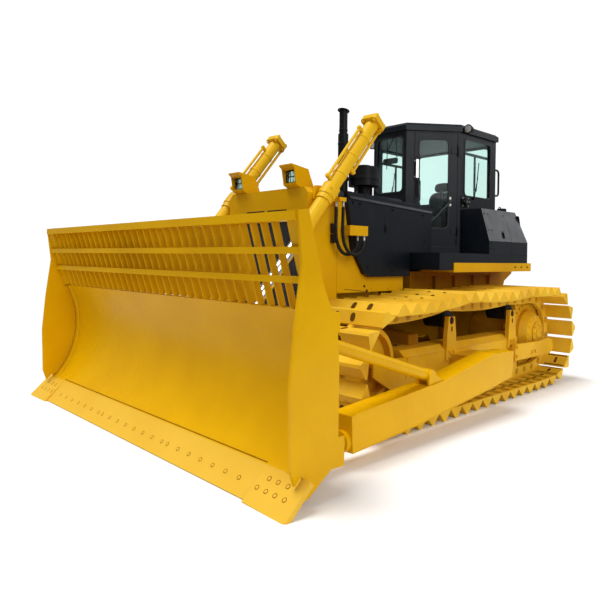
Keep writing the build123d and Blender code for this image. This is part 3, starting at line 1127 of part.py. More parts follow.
def blade_back():
    """Two box beams across the blade's back, upright ribs between them and the lift rods' ears."""
    w = INNER_X - SEAT
    top = MOLDBOARD_TOP_HEIGHT - 16
    body = block(-w, w, st(BACK_FRONT), st(BACK_REAR), BACK_BOTTOM, BACK_BOTTOM + BACK_BEAM)
    body = body + block(-w, w, st(BACK_FRONT + 20), st(BACK_TOP_REAR), top - BACK_UPPER_BEAM, top)
    for x in BACK_RIB_XS:
        rib = side_profile([
            (BACK_FRONT, BACK_BOTTOM), (BACK_REAR, BACK_BOTTOM), (BACK_REAR, BACK_BOTTOM + 370),
            (BACK_TOP_REAR, top - 360), (BACK_TOP_REAR, top), (BACK_FRONT + 20, top),
        ], x - BACK_RIB / 2, x + BACK_RIB / 2)
        body = body + left_right(rib)
    ear_x = ROD_EYE_WIDTH / 2 + CLEAR + EAR_THICKNESS / 2
    near, far = ROD_EYE_STATION - 10, ROD_EYE_STATION + ROD_EYE_RADIUS
    for x in (LIFT_X - ear_x, LIFT_X + ear_x):
        ear = side_profile([
            (BACK_FRONT + 20, ROD_EYE_HEIGHT - 200), (near, ROD_EYE_HEIGHT - 90), (far, ROD_EYE_HEIGHT - 40),
            (far, ROD_EYE_HEIGHT + 50), (near, ROD_EYE_HEIGHT + 100), (BACK_FRONT + 20, ROD_EYE_HEIGHT + 230),
        ], x - EAR_THICKNESS / 2, x + EAR_THICKNESS / 2)
        body = body + left_right(ear)
    node("blade_back", behind_moldboard(body))


def rack():
    """Bar screen above the moldboard: a top beam, end posts, two cross bars and many upright slats."""
    foot_s, foot_z = MOLDBOARD_TOP_STATION + 4, moldboard_line(MOLDBOARD_THICKNESS)[2][1]
    top_s, top_z = RACK_TOP_STATION + RACK_TOP_DEPTH / 2, RACK_TOP_HEIGHT - RACK_TOP_BEAM
    slope = (top_s - foot_s) / (top_z - foot_z)
    w = INNER_X - SEAT
    half = RACK_SLAT_DEPTH / 2
    whole = block(-w, w, st(RACK_TOP_STATION), st(RACK_TOP_STATION + RACK_TOP_DEPTH), top_z, RACK_TOP_HEIGHT)
    for z in RACK_BAR_HEIGHTS:
        s = foot_s + slope * (z - foot_z) - half
        whole = whole + block(-w, w, st(s - RACK_BAR_DEPTH), st(s + 6), z - RACK_BAR_HEIGHT / 2, z + RACK_BAR_HEIGHT / 2)

    def upright(x0, x1):
        return side_profile([
            (foot_s - half, foot_z + SEAT), (foot_s + half, foot_z + SEAT),
            (top_s + half, top_z + 10), (top_s - half, top_z + 10),
        ], x0, x1)

    whole = whole + left_right(upright(w - RACK_POST_WIDTH, w))
    reach = w - RACK_POST_WIDTH - RACK_END_GAP
    for i in range(RACK_SLATS):
        x = reach * (2 * i / (RACK_SLATS - 1) - 1)
        whole = whole + upright(x - RACK_SLAT_WIDTH / 2, x + RACK_SLAT_WIDTH / 2)
    node("trash_rack", whole)


# ---- push arms, tilt brace and tilt cylinder ----
def push_arm():
    """Box-section arm, from the bolted ball at the blade's foot to the eye on the frame's trunnion."""
    arm = side_profile(ARM_UPPER_LINE + ARM_LOWER_LINE, ARM_INNER_X, ARM_OUTER_X)
    arm = arm + cylinder_x(ARM_INNER_X, ARM_OUTER_X, ARM_PIVOT_STATION, ARM_PIVOT_HEIGHT, TRUNNION_RADIUS + ARM_EYE_WALL)
    arm = arm - cylinder_x(ARM_INNER_X - CUT, ARM_OUTER_X - ARM_EYE_COVER, ARM_PIVOT_STATION, ARM_PIVOT_HEIGHT,
                           TRUNNION_RADIUS + PIN_FIT)
    front = ARM_UPPER_LINE[0][0]
    facing = Pos(ARM_CAP_X, 0, ARM_CAP_HEIGHT) * Rot(90, 0, 0)

    def along(s0, s1, radius):
        return Pos(0, st((s0 + s1) / 2), 0) * facing * Cylinder(radius, s1 - s0)

    return arm + along(front - ARM_CAP, front + CUT, ARM_CAP_RADIUS) + along(
        BACK_REAR + SEAT, front, ARM_NECK_RADIUS) + along(BACK_REAR + SEAT, BACK_REAR + 40, ARM_CAP_RADIUS)


def brace_ends(x):
    """Eye between two lug plates on the arm, and the foot behind the blade, for what pushes the blade's top."""
    (fs, fz), (rs, rz) = BRACE_FRONT, BRACE_REAR
    half = BRACE_EYE_WIDTH / 2
    eye = cylinder_x(x - half, x + half, rs, rz, BRACE_EYE_RADIUS)
    for a, b in ((x - half - BRACE_LUG_PLATE, x - half + 1), (x + half - 1, x + half + BRACE_LUG_PLATE)):
        eye = eye + cylinder_x(a, b, rs, rz, BRACE_EYE_RADIUS - 8)
        eye = eye + side_profile([
            (rs - BRACE_EYE_RADIUS, rz - BRACE_EYE_DROP), (rs - BRACE_EYE_RADIUS + 8, rz),
            (rs + BRACE_EYE_RADIUS - 8, rz), (rs + BRACE_LUG_TAIL, rz - BRACE_EYE_DROP + 20),
            (rs + BRACE_LUG_TAIL, rz - BRACE_EYE_DROP + 12),
        ], a, b)
    foot = side_profile([
        (BACK_TOP_REAR + SEAT, fz - 90), (fs + 60, fz - 70), (fs + 110, fz - 20), (fs + 60, fz + 70),
        (BACK_TOP_REAR + SEAT, fz + 90),
    ], x - half, x + half)
    return eye + foot


def brace():
    """Solid brace on the left, and the tilt cylinder in its place on the right."""
    (fs, fz), (rs, rz) = BRACE_FRONT, BRACE_REAR
    arm = side_profile(ARM_UPPER_LINE + ARM_LOWER_LINE, ARM_INNER_X, ARM_OUTER_X + SEAT)
    ends = brace_ends(BRACE_X)
    node("tilt_brace", ends + bar((BRACE_X, fs, fz), (BRACE_X, rs, rz), BRACE_RADIUS) - grown(arm))

    def at(share):
        return (-BRACE_X, fs + (rs - fs) * share, fz + (rz - fz) * share)

    cylinder = mirror(ends, about=Plane.YZ) + bar(at(0), at(1), TILT_ROD_RADIUS)
    start, end = TILT_BARREL
    cylinder = cylinder + bar(at(start), at(end), TILT_BARREL_RADIUS)
    cylinder = cylinder + bar(at(start), at(start + 0.03), TILT_BARREL_RADIUS + GLAND_COLLAR)
    node("tilt_cylinder", cylinder - mirror(grown(arm), about=Plane.YZ))


def grown(arm):
    """An arm raised by the gap between bolted pieces, to trim what stands on it."""
    return arm + arm.translate((0, 0, SEAT))


# ---- lift cylinders ----
def along_lift(distance, off=0.0):
    """A point on the lift cylinder's axis, up from its trunnion, moved off it to the rear and down."""
    ds, dz = TRUNNION_STATION - ROD_EYE_STATION, TRUNNION_HEIGHT - ROD_EYE_HEIGHT
    length = math.hypot(ds, dz)
    us, uz = ds / length, dz / length
    return (LIFT_X, TRUNNION_STATION + us * distance + uz * off, TRUNNION_HEIGHT + uz * distance - us * off)


def lift_cylinders():
    """Barrels hung in trunnions at the guard's corners, and their rods down to the blade's ears."""
    reach = math.hypot(TRUNNION_STATION - ROD_EYE_STATION, TRUNNION_HEIGHT - ROD_EYE_HEIGHT)
    bottom = -GLAND_BELOW_TRUNNION
    top = bottom + BARREL_LENGTH
    tube = bar(along_lift(bottom), along_lift(top), BARREL_RADIUS)
    tube = tube + bar(along_lift(bottom), along_lift(bottom + 2.5 * GLAND_LENGTH), BARREL_RADIUS + GLAND_COLLAR)
    tube = tube + bar(along_lift(-YOKE_HALF_LENGTH), along_lift(YOKE_HALF_LENGTH), BARREL_RADIUS + YOKE_COLLAR)
    a = Vector(*along_lift(top - HEAD_LENGTH))
    axis = Vector(*along_lift(top)) - a
    middle = along_lift(top - HEAD_LENGTH / 2)
    head = Box(2 * HEAD_HALF_WIDTH, 2 * HEAD_HALF_WIDTH, HEAD_LENGTH)
    head = fillet(head.edges().filter_by(Axis.Z), HEAD_ROUND)
    tube = tube + Plane(origin=(middle[0], st(middle[1]), middle[2]), x_dir=(1, 0, 0), z_dir=axis) * head
    for off, start, end in ((-PIPE_OFFSET, PIPE_UPPER_FOOT, top - 220), (PIPE_OFFSET, PIPE_LOWER_FOOT, top - 10)):
        tube = tube + bar(along_lift(start, off), along_lift(end, off), PIPE_RADIUS)
        for at in (start + PIPE_CLAMP - 3, end - PIPE_CLAMP + 3):
            tube = tube + bar(along_lift(at, off / 2), along_lift(at, off * 1.2), PIPE_CLAMP)
    tube = tube + cylinder_x(GUARD_HALF_WIDTH + CLEAR, LIFT_X - BARREL_RADIUS + 10, TRUNNION_STATION,
                             TRUNNION_HEIGHT, LIFT_PIN_RADIUS)
    tube = tube - bar(along_lift(bottom + GLAND_LENGTH), along_lift(top - BARREL_END), BARREL_BORE)
    tube = tube - bar(along_lift(bottom - CUT), along_lift(bottom + 3 * CUT), ROD_RADIUS + PIN_FIT)
    pair("lift_cylinder", tube)
    end = bottom + ROD_INSERTION
    rod = bar(along_lift(ROD_EYE_RADIUS / 4 - reach), along_lift(end), ROD_RADIUS)
    rod = rod + bar(along_lift(end - PISTON_LENGTH), along_lift(end), PISTON_RADIUS)
    rod = rod + cylinder_x(LIFT_X - ROD_EYE_WIDTH / 2, LIFT_X + ROD_EYE_WIDTH / 2, ROD_EYE_STATION, ROD_EYE_HEIGHT,
                           ROD_EYE_RADIUS)
    pair("lift_rod", rod)


# ---- hydraulic hoses beside the hood ----
def hose(name, x, shift):
    """One hose, hung in a loop from the block on the guard to the underside of the box behind it."""
    route = [(x, st(s + shift), z) for s, z in HOSE_ROUTE]
    runs = [math.dist(p, q) for p, q in zip(route, route[1:])]
    radii = []
    for i in range(1, len(route) - 1):
        before = Vector(*route[i]) - Vector(*route[i - 1])
        after = Vector(*route[i + 1]) - Vector(*route[i])
        half_turn = math.radians(before.get_angle(after)) / 2
        radii.append(0.45 * min(runs[i - 1], runs[i]) / math.tan(half_turn))
    line = FilletPolyline(*route, radius=radii)
    tube = sweep(Plane(origin=line @ 0, z_dir=line % 0) * Circle(HOSE_DIAMETER / 2), path=line)
    section = math.pi * HOSE_DIAMETER ** 2 / 4
    print(name, "length", round(line.length), "radii", [round(r) for r in radii],
          "volume / (section x length)", round(tube.volume / (section * line.length), 4))
    pair(name, tube)


def hoses():
    """Two hoses on each side, and the block, plate and box that carry them."""
    hose("hose_front", HOSE_XS[0], 0)
    hose("hose_rear", HOSE_XS[1], HOSE_SPACING)
    inner = GUARD_HALF_WIDTH + SEAT
    top = HOSE_ROUTE[0][1] + SEAT
    outer = HOSE_XS[1] + HOSE_DIAMETER
    s0 = HOSE_ROUTE[0][0] - HOSE_DIAMETER
    upper = block(inner, outer, st(s0), st(HOSE_ROUTE[0][0] + HOSE_SPACING + HOSE_DIAMETER), top, top + HOSE_BLOCK)
    plate = block(inner, inner + HOSE_BRACKET_PLATE, *[st(s) for s in HOSE_BRACKET_STATIONS], *HOSE_BRACKET_HEIGHTS)
    low = HOSE_ROUTE[-1][1] + SEAT
    box = block(DASH_HALF_WIDTH + SEAT, outer, *[st(s) for s in HOSE_BOX_STATIONS], low, low + HOSE_BOX_HEIGHT)
    node("hose_bracket", left_right(upper), left_right(plate), left_right(box))


def main():
    pair("track", track(TRACK_X))
    idlers()
    sprockets()
    final_drives()
    rollers()
    carrier_rollers()
    pair("track_frame", track_frame())
    main_frame()
    engine()
    equalizer_bar()
    drawbar()
    radiator_guard()
    hood()
    lamps()
    dash_boxes()
    platform()
    side_boxes()
    cab()
    cab_fittings()
    door_handles()
    cab_inside()
    stacks()
    moldboard()
    cutting_edge()
    side_plates()
    blade_back()
    rack()
    pair("push_arm", push_arm())
    brace()
    lift_cylinders()
    hoses()
    os.makedirs("parts", exist_ok=True)
    for name, solids in NODES.items():
        shape = solids[0] if len(solids) == 1 else Compound(children=solids)
        export_step(shape, f"parts/{name}.step")


main()
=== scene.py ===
import bmesh
import bpy
import math
from mathutils import Matrix, Vector


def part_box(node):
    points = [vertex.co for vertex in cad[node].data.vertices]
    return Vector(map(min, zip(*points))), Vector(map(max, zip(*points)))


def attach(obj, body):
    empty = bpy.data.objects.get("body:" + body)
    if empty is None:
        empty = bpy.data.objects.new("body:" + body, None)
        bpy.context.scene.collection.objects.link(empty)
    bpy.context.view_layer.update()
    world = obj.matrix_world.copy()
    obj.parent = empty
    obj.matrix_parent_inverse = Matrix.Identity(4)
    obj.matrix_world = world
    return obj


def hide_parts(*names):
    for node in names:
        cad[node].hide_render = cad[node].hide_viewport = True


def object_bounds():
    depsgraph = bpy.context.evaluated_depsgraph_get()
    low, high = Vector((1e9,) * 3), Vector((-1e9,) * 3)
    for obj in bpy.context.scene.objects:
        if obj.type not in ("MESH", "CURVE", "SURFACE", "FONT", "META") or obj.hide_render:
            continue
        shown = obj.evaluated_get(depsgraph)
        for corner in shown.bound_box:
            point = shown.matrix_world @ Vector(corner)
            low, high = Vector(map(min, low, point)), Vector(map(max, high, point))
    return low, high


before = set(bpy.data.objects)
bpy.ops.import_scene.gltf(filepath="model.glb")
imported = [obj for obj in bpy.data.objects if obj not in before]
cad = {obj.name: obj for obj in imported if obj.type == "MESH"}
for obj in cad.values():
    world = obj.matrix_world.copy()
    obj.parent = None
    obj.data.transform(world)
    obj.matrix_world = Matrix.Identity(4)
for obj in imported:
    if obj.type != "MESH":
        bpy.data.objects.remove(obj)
cad_box = [list(corner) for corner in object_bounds()]

# ---- Camera ----
# An eye-level view from ahead of the blade's left end, a little below the machine's middle height. Places
# are given as x, station and height in mm; a station is the distance back from the cutting edge's tip.
MM = 0.001
TAIL_STATION = 6060
REAR_Y = cad_box[1][1]


def at(x, station, height):
    """A place in metres, from millimetres: x, the distance back from the cutting edge's tip, the height."""
    return Vector((x * MM, REAR_Y - (TAIL_STATION - station) * MM, height * MM))


CAMERA_PLACE = (4735.8, -2415.3, 1627.1)
camera = bpy.data.objects.new("camera", bpy.data.cameras.new("camera"))
bpy.context.scene.collection.objects.link(camera)
heading, tilt, roll = math.radians(47.5), math.radians(-0.6), math.radians(0.7)
ahead = Vector((-math.sin(heading) * math.cos(tilt), math.cos(heading) * math.cos(tilt), math.sin(tilt)))
camera.matrix_world = (
    Matrix.Translation(at(*CAMERA_PLACE))
    @ ahead.to_track_quat("-Z", "Y").to_matrix().to_4x4()
    @ Matrix.Rotation(roll, 4, "Z")
)
camera.data.sensor_width = 36.0
camera.data.lens = 34.66
camera.data.shift_x = 0.030
camera.data.shift_y = -0.060
camera.data.clip_end = 100.0
bpy.context.scene.camera = camera


# ---- Lift hoses ----
# Two rubber pressure hoses a side feed the lift cylinder. Each hangs in a bend from the block on the guard
# to the underside of the box behind it, in crimped steel ends, with a rubber spiral guard over nearly its
# whole length, from a little below the upper end.
def new_finish(name, **sockets):
    """A Principled material with numbers set on its own sockets; returns it, its tree, shader and place."""
    finish = bpy.data.materials.new(name)
    finish.use_nodes = True
    tree = finish.node_tree
    shader = tree.nodes["Principled BSDF"]
    for socket, value in sockets.items():
        shader.inputs[socket.replace("_", " ")].default_value = value
    place = tree.nodes.new("ShaderNodeTexCoord").outputs["Object"]
    return finish, tree, shader, place


def grain(tree, place, scale, detail=3.0, stretch=None):
    """Noise at so many lumps a metre, stretched along an axis where a finish runs one way."""
    if stretch:
        mapping = tree.nodes.new("ShaderNodeMapping")
        mapping.inputs["Scale"].default_value = stretch
        tree.links.new(place, mapping.inputs["Vector"])
        place = mapping.outputs["Vector"]
    noise = tree.nodes.new("ShaderNodeTexNoise")
    noise.inputs["Scale"].default_value = scale
    noise.inputs["Detail"].default_value = detail
    tree.links.new(place, noise.inputs["Vector"])
    return noise.outputs["Fac"]


def ramp(tree, source, low, high, value_low, value_high):
    """A value that goes from value_low to value_high as the source goes from low to high."""
    node = tree.nodes.new("ShaderNodeMapRange")
    node.inputs["From Min"].default_value = low
    node.inputs["From Max"].default_value = high
    node.inputs["To Min"].default_value = value_low
    node.inputs["To Max"].default_value = value_high
    tree.links.new(source, node.inputs["Value"])
    return node.outputs["Result"]


def blend_colours(tree, amount, first, second):
    """A colour between two, each given as three numbers or as a node's output."""
    node = tree.nodes.new("ShaderNodeMix")
    node.data_type = "RGBA"
    tree.links.new(amount, node.inputs[0])
    for socket, colour in ((node.inputs[6], first), (node.inputs[7], second)):
        if isinstance(colour, tuple):
            socket.default_value = (*colour, 1.0)
        else:
            tree.links.new(colour, socket)
    return node.outputs[2]


def add_relief(tree, shader, height, depth, strength=1.0):
    """Bump of a real depth in metres; a second call lies on the first."""
    node = tree.nodes.new("ShaderNodeBump")
    node.inputs["Distance"].default_value = depth
    node.inputs["Strength"].default_value = strength
    tree.links.new(height, node.inputs["Height"])
    if shader.inputs["Normal"].links:
        tree.links.new(shader.inputs["Normal"].links[0].from_socket, node.inputs["Normal"])
    tree.links.new(node.outputs["Normal"], shader.inputs["Normal"])


def plain_finish(name, first, second, rough, scale, depth=0.00004, **sockets):
    """A finish that drifts between two colours, with some unevenness in its gloss and a fine relief."""
    finish, tree, shader, place = new_finish(name, **sockets)
    drift = ramp(tree, grain(tree, place, scale, 4.0), 0.3, 0.7, 0.0, 1.0)
    tree.links.new(blend_colours(tree, drift, first, second), shader.inputs["Base Color"])
    gloss = ramp(tree, grain(tree, place, scale * 4, 5.0), 0.3, 0.8, rough, rough + 0.15)
    tree.links.new(gloss, shader.inputs["Roughness"])
    add_relief(tree, shader, grain(tree, place, scale * 40, 2.0), depth)
    return finish


rubber = plain_finish("black_rubber", (0.006, 0.006, 0.007), (0.014, 0.014, 0.015), 0.45, 12.0, 0.0001,
                      Specular_IOR_Level=0.35)
steel = plain_finish("plated_steel", (0.42, 0.41, 0.39), (0.56, 0.55, 0.52), 0.25, 14.0, 0.00003,
                     Metallic=0.9)


def make_piece(name, shape, finish, body, slot):
    """Turns a bmesh into a piece with closed seams and outward faces, riding on a body."""
    bmesh.ops.remove_doubles(shape, verts=shape.verts[:], dist=0.00001)
    bmesh.ops.recalc_face_normals(shape, faces=shape.faces[:])
    mesh = bpy.data.meshes.new(name)
    shape.to_mesh(mesh)
    shape.free()
    mesh.materials.append(finish)
    piece = bpy.data.objects.new(name, mesh)
    bpy.context.scene.collection.objects.link(piece)
    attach(piece, body)
    return piece


def facing(place, out):
    """The matrix that puts a shape's own Z along out, at a place."""
    return Matrix.Translation(place) @ Vector(out).to_track_quat("Z", "Y").to_matrix().to_4x4()


def add_turned(shape, place, out, profile, segments=24):
    """A round part turned about the line from place along out, by (distance along it, radius) in mm."""
    stand = facing(place, out)
    rim = [shape.verts.new(stand @ Vector((radius * MM, 0.0, along * MM))) for along, radius in profile]
    edges = [shape.edges.new(ends) for ends in zip(rim, rim[1:])]
    bmesh.ops.spin(shape, geom=rim + edges, cent=place, axis=stand.to_3x3().col[2], steps=segments,
                   angle=math.tau, use_merge=True)


HOSE_DIAMETER = 0.022
HOSE_ROUTE = ((2006, 2215), (2006, 2068), (1998, 1915), (2022, 1779),
              (2110, 1678), (2240, 1668), (2345, 1762), (2345, 1872))
HOSE_PLACES = (("hose_front", 728, 0), ("hose_rear", 770, 58))
DOWN = (0, 0, -1)
SPIRAL_START = 0.06
SPIRAL_PITCH = 0.014
SPIRAL_STEPS = 9
SPIRAL_SHARE = 0.93
SPIRAL_RADIUS = HOSE_DIAMETER / 2 + 0.0030
SPIRAL_THREAD = 0.0058
CRIMP = ((-3, 0), (-3, 17), (14, 17), (14, 13.5), (22, 13.5), (25, 15), (30, 13.5), (35, 15), (40, 13.5),
         (52, 13.5), (54, 11.2), (54, 0))


def new_line(name, kind, points, finish, body):
    """A curve of one spline through, or for NURBS near, its points."""
    line = bpy.data.curves.new(name, "CURVE")
    line.dimensions = "3D"
    line.resolution_u = 12
    line.use_fill_caps = True
    line.materials.append(finish)
    run = line.splines.new(kind)
    run.points.add(len(points) - 1)
    for spot, point in zip(run.points, points):
        spot.co = (*point, 1.0)
    if kind == "NURBS":
        run.order_u = 3
        run.use_endpoint_u = True
    piece = bpy.data.objects.new(name, line)
    bpy.context.scene.collection.objects.link(piece)
    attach(piece, body)
    return piece


def wind(route, share, radius):
    """Points of a helix round the first share of a route, at a radius from it."""
    lengths = [0.0]
    for start, end in zip(route, route[1:]):
        lengths.append(lengths[-1] + (end - start).length)
    turns = round(share * lengths[-1] / SPIRAL_PITCH)
    points = []
    leg = 0
    for step in range(turns * SPIRAL_STEPS + 1):
        along = SPIRAL_START + (share * lengths[-1] - SPIRAL_START) * step / (turns * SPIRAL_STEPS)
        while lengths[leg + 1] < along:
            leg += 1
        part = (along - lengths[leg]) / (lengths[leg + 1] - lengths[leg])
        middle = route[leg].lerp(route[leg + 1], part)
        ahead = (route[leg + 1] - route[leg]).normalized()
        across = ahead.cross(Vector((1.0, 0.0, 0.0))).normalized()
        angle = math.tau * step / SPIRAL_STEPS
        points.append(middle + radius * (math.cos(angle) * across + math.sin(angle) * ahead.cross(across)))
    return points


for kind, x, shift in HOSE_PLACES:
    for side, hand in ((1, "left"), (-1, "right")):
        name = f"{kind}_{hand}"
        places = [at(side * x, station + shift, height) for station, height in HOSE_ROUTE]
        hose = new_line(name + "_run", "NURBS", places, rubber, "machine")
        traced = bpy.data.meshes.new_from_object(hose)
        route = [spot.co.copy() for spot in traced.vertices]
        bpy.data.meshes.remove(traced)
        hose.data.bevel_depth = HOSE_DIAMETER / 2
        hose.data.bevel_resolution = 4
        turns = wind(route, SPIRAL_SHARE, SPIRAL_RADIUS)
        spiral = new_line(name + "_spiral", "POLY", turns, rubber, "machine")
        spiral.data.bevel_depth = SPIRAL_THREAD
        spiral.data.bevel_resolution = 1
        ends = bmesh.new()
        add_turned(ends, places[0], DOWN, CRIMP)
        add_turned(ends, places[-1], DOWN, CRIMP)
        crimps = make_piece(name + "_crimps", ends, steel, "machine", "lamp_chrome")
        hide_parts(name)
        tuple(places[0])

# ---- Studio ----
# A pale round floor under a white sky, with a soft sun from above and ahead and weaker ones from the left
# and from behind.
SKY_LIGHT, SKY_SEEN = 0.28, 1.05
bpy.context.scene.view_settings.view_transform = "Standard"
world = bpy.data.worlds.new("studio")
world.use_nodes = True
backdrop = world.node_tree.nodes["Background"]
backdrop.inputs["Color"].default_value = (1.0, 1.0, 1.0, 1.0)
path = world.node_tree.nodes.new("ShaderNodeLightPath")
seen = world.node_tree.nodes.new("ShaderNodeMath")
seen.operation = "MAXIMUM"
world.node_tree.links.new(path.outputs["Is Camera Ray"], seen.inputs[0])
world.node_tree.links.new(path.outputs["Is Transmission Ray"], seen.inputs[1])
strength = world.node_tree.nodes.new("ShaderNodeMapRange")
strength.inputs["To Min"].default_value = SKY_LIGHT
strength.inputs["To Max"].default_value = SKY_SEEN
world.node_tree.links.new(seen.outputs[0], strength.inputs["Value"])
world.node_tree.links.new(strength.outputs["Result"], backdrop.inputs["Strength"])
bpy.context.scene.world = world

for name, direction, power, spread in (
        ("sun_above", (-0.20, -0.26, 1.0), 2.75, 30.0),
        ("sun_left", (1.0, -0.22, 0.55), 1.35, 45.0),
        ("sun_behind", (0.36, 0.89, 0.42), 0.35, 24.0)):
    sun = bpy.data.lights.new(name, "SUN")
    sun.energy = power
    sun.angle = math.radians(spread)
    lamp = bpy.data.objects.new(name, sun)
    bpy.context.scene.collection.objects.link(lamp)
    lamp.rotation_euler = Vector(direction).to_track_quat("Z", "Y").to_euler()

FLOOR_RADIUS = 6.4
ground = bmesh.new()
bmesh.ops.create_circle(ground, cap_ends=True, segments=96, radius=FLOOR_RADIUS)
floor_mesh = bpy.data.meshes.new("floor")
ground.to_mesh(floor_mesh)
ground.free()
floor = bpy.data.objects.new("floor", floor_mesh)
bpy.context.scene.collection.objects.link(floor)
floor_mesh.materials.append(plain_finish("studio_floor", (0.93, 0.93, 0.93), (0.94, 0.94, 0.94), 0.8, 0.6))

# ---- Painted steel ----
# Plates, castings and sheets are sprayed with two coats of yellow enamel, semi-gloss with a faint orange
# peel. The tone drifts over a large plate, and a film of fine dust dulls it in patches.
YELLOW = (0.720, 0.392, 0.0005)
YELLOW_DEEP = (0.650, 0.340, 0.0004)
DUST = (0.560, 0.380, 0.080)


def yellow_enamel(name, tone, deep, dust, gloss, peel=0.00002, film=0.5):
    """Enamel that drifts between two tones, with dust in patches; film is where the dust starts."""
    finish, tree, shader, place = new_finish(name, Coat_Weight=0.01, Coat_Roughness=0.12,
                                             Specular_IOR_Level=0.08)
    drift = ramp(tree, grain(tree, place, 1.7, 4.0), 0.32, 0.68, 0.0, 1.0)
    paint = blend_colours(tree, drift, deep, tone)
    patches = ramp(tree, grain(tree, place, 5.0, 8.0), film, 0.85, 0.0, dust)
    tree.links.new(blend_colours(tree, patches, paint, DUST), shader.inputs["Base Color"])
    shine = ramp(tree, grain(tree, place, 9.0, 5.0), 0.3, 0.8, gloss, gloss + 0.16)
    tree.links.new(shine, shader.inputs["Roughness"])
    add_relief(tree, shader, grain(tree, place, 260.0, 1.0), peel)
    return finish


enamel = yellow_enamel("yellow_enamel", YELLOW, YELLOW_DEEP, 0.08, 0.30)
blade_enamel = yellow_enamel("blade_enamel", YELLOW, YELLOW_DEEP, 0.03, 0.24, 0.000006)
# A paler copy of the yellow for the lift cylinders, lightened to stand in for the highlights on the barrels:
# painted highlight. The dust in patches is dust.
cylinder_enamel_and_highlight = yellow_enamel("cylinder_enamel_and_highlight", (0.80, 0.475, 0.014), (0.75, 0.43, 0.008), 0.05, 0.26)
edge_enamel = yellow_enamel("edge_enamel", (0.73, 0.445, 0.045), (0.69, 0.405, 0.035), 0.05, 0.3)
gear_enamel = yellow_enamel("running_gear_enamel", (0.80, 0.44, 0.010), (0.62, 0.31, 0.007), 0.35, 0.42,
                            0.0002, 0.42)
# A lighter copy of the yellow for the track shoes, lifted to stand in for the highlights on the top run:
# painted highlight. The dust in patches is dust.
dusty_shoe_enamel_and_highlight = yellow_enamel("dusty_shoe_enamel_and_highlight", (0.88, 0.55, 0.035), (0.68, 0.37, 0.010), 0.25, 0.38, 0.0002, 0.40)
# A dark brown copy of the yellow for the deck's carrier, the hull and the equalizer bar: painted shade, the
# shadow under the deck. Its dust in patches is dust.
shaded_deck_enamel = yellow_enamel("shaded_deck_enamel", (0.380, 0.165, 0.0012), (0.280, 0.115, 0.0010), 0.12, 0.45)


def paint_nodes(finish, names):
    """Gives carried-over nodes their finish."""
    for name in names.split():
        cad[name].data.materials.clear()
        cad[name].data.materials.append(finish)


paint_nodes(enamel, "radiator_guard hood_sides fender_rails drawbar engine_block lamp_boxes "
            "hose_bracket")
paint_nodes(cylinder_enamel_and_highlight, "lift_cylinder_left lift_cylinder_right")
paint_nodes(edge_enamel, "cutting_edge")
paint_nodes(blade_enamel, "moldboard side_plates blade_back trash_rack "
            "push_arm_left push_arm_right tilt_brace tilt_cylinder")
paint_nodes(gear_enamel, "track_frame_left track_frame_right idlers sprockets "
            "final_drives track_rollers")
paint_nodes(dusty_shoe_enamel_and_highlight, "track_left track_right")
paint_nodes(shaded_deck_enamel, "deck_carrier main_frame equalizer_bar")


# ---- Dark cab paint ----
# The cab, the hood, the deck and the boxes are sprayed in charcoal enamel under a thin clear coat. The
# stacks, the lamps' cases and the radiator are a flatter black, and soot dulls the grille before it.
def charcoal_enamel(name, tone, sheen, gloss):
    """Dark enamel that drifts to a lighter tone, with dust in patches, under a coat of the given weight."""
    finish, tree, shader, place = new_finish(name, Coat_Weight=sheen, Coat_Roughness=0.08,
                                             Specular_IOR_Level=0.16)
    drift = ramp(tree, grain(tree, place, 2.2, 4.0), 0.3, 0.7, 0.0, 1.0)
    lighter = tuple(value * 1.35 + 0.001 for value in tone)
    paint = blend_colours(tree, drift, tone, lighter)
    patches = ramp(tree, grain(tree, place, 6.0, 8.0), 0.55, 0.9, 0.0, 0.12)
    tree.links.new(blend_colours(tree, patches, paint, (0.040, 0.046, 0.054)), shader.inputs["Base Color"])
    shine = ramp(tree, grain(tree, place, 8.0, 5.0), 0.3, 0.8, gloss, gloss + 0.14)
    tree.links.new(shine, shader.inputs["Roughness"])
    add_relief(tree, shader, grain(tree, place, 260.0, 1.0), 0.00002)
    return finish


charcoal = charcoal_enamel("charcoal_enamel", (0.0040, 0.0062, 0.0100), 0.10, 0.30)
black = charcoal_enamel("black_enamel", (0.0030, 0.0034, 0.0045), 0.05, 0.45)
paint_nodes(charcoal, "hood cab_frame cab_roof door_left door_right dash_boxes platform "
            "side_boxes fuel_tank handrails")
paint_nodes(black, "exhaust_stack air_cleaner cab_lamps")
paint_nodes(black, "radiator carrier_rollers")
sooty_grille = plain_finish("sooty_grille", (0.0015, 0.0016, 0.002), (0.003, 0.003, 0.004), 0.8, 9.0, 0.0001,
                            Specular_IOR_Level=0.1)
paint_nodes(sooty_grille, "grille")

# ---- Window glass ----
# Panes of green-tinted toughened glass, set in from the outside of the cab's sheets. The tint drifts a
# little and wiping leaves faint smears in the gloss.
glass, tree, shader, place = new_finish("tinted_glass", Transmission_Weight=1.0, IOR=1.2)
tint = ramp(tree, grain(tree, place, 1.2), 0.3, 0.7, 0.0, 1.0)
tinted = blend_colours(tree, tint, (0.760, 0.925, 0.885), (0.780, 0.940, 0.905))
tree.links.new(tinted, shader.inputs["Base Color"])
tree.links.new(ramp(tree, grain(tree, place, 14.0, 6.0), 0.4, 0.8, 0.01, 0.05), shader.inputs["Roughness"])
paint_nodes(glass, "cab_glass door_glass_left door_glass_right")

# ---- Cab plastic ----
# The consoles and the seat's base are moulded in grained black plastic, whose tone drifts between two near
# blacks under a fine relief.
plastic = plain_finish("console_plastic", (0.020, 0.021, 0.024), (0.032, 0.033, 0.036), 0.5, 8.0, 0.0002,
                       Specular_IOR_Level=0.4)
paint_nodes(plastic, "consoles seat_base")


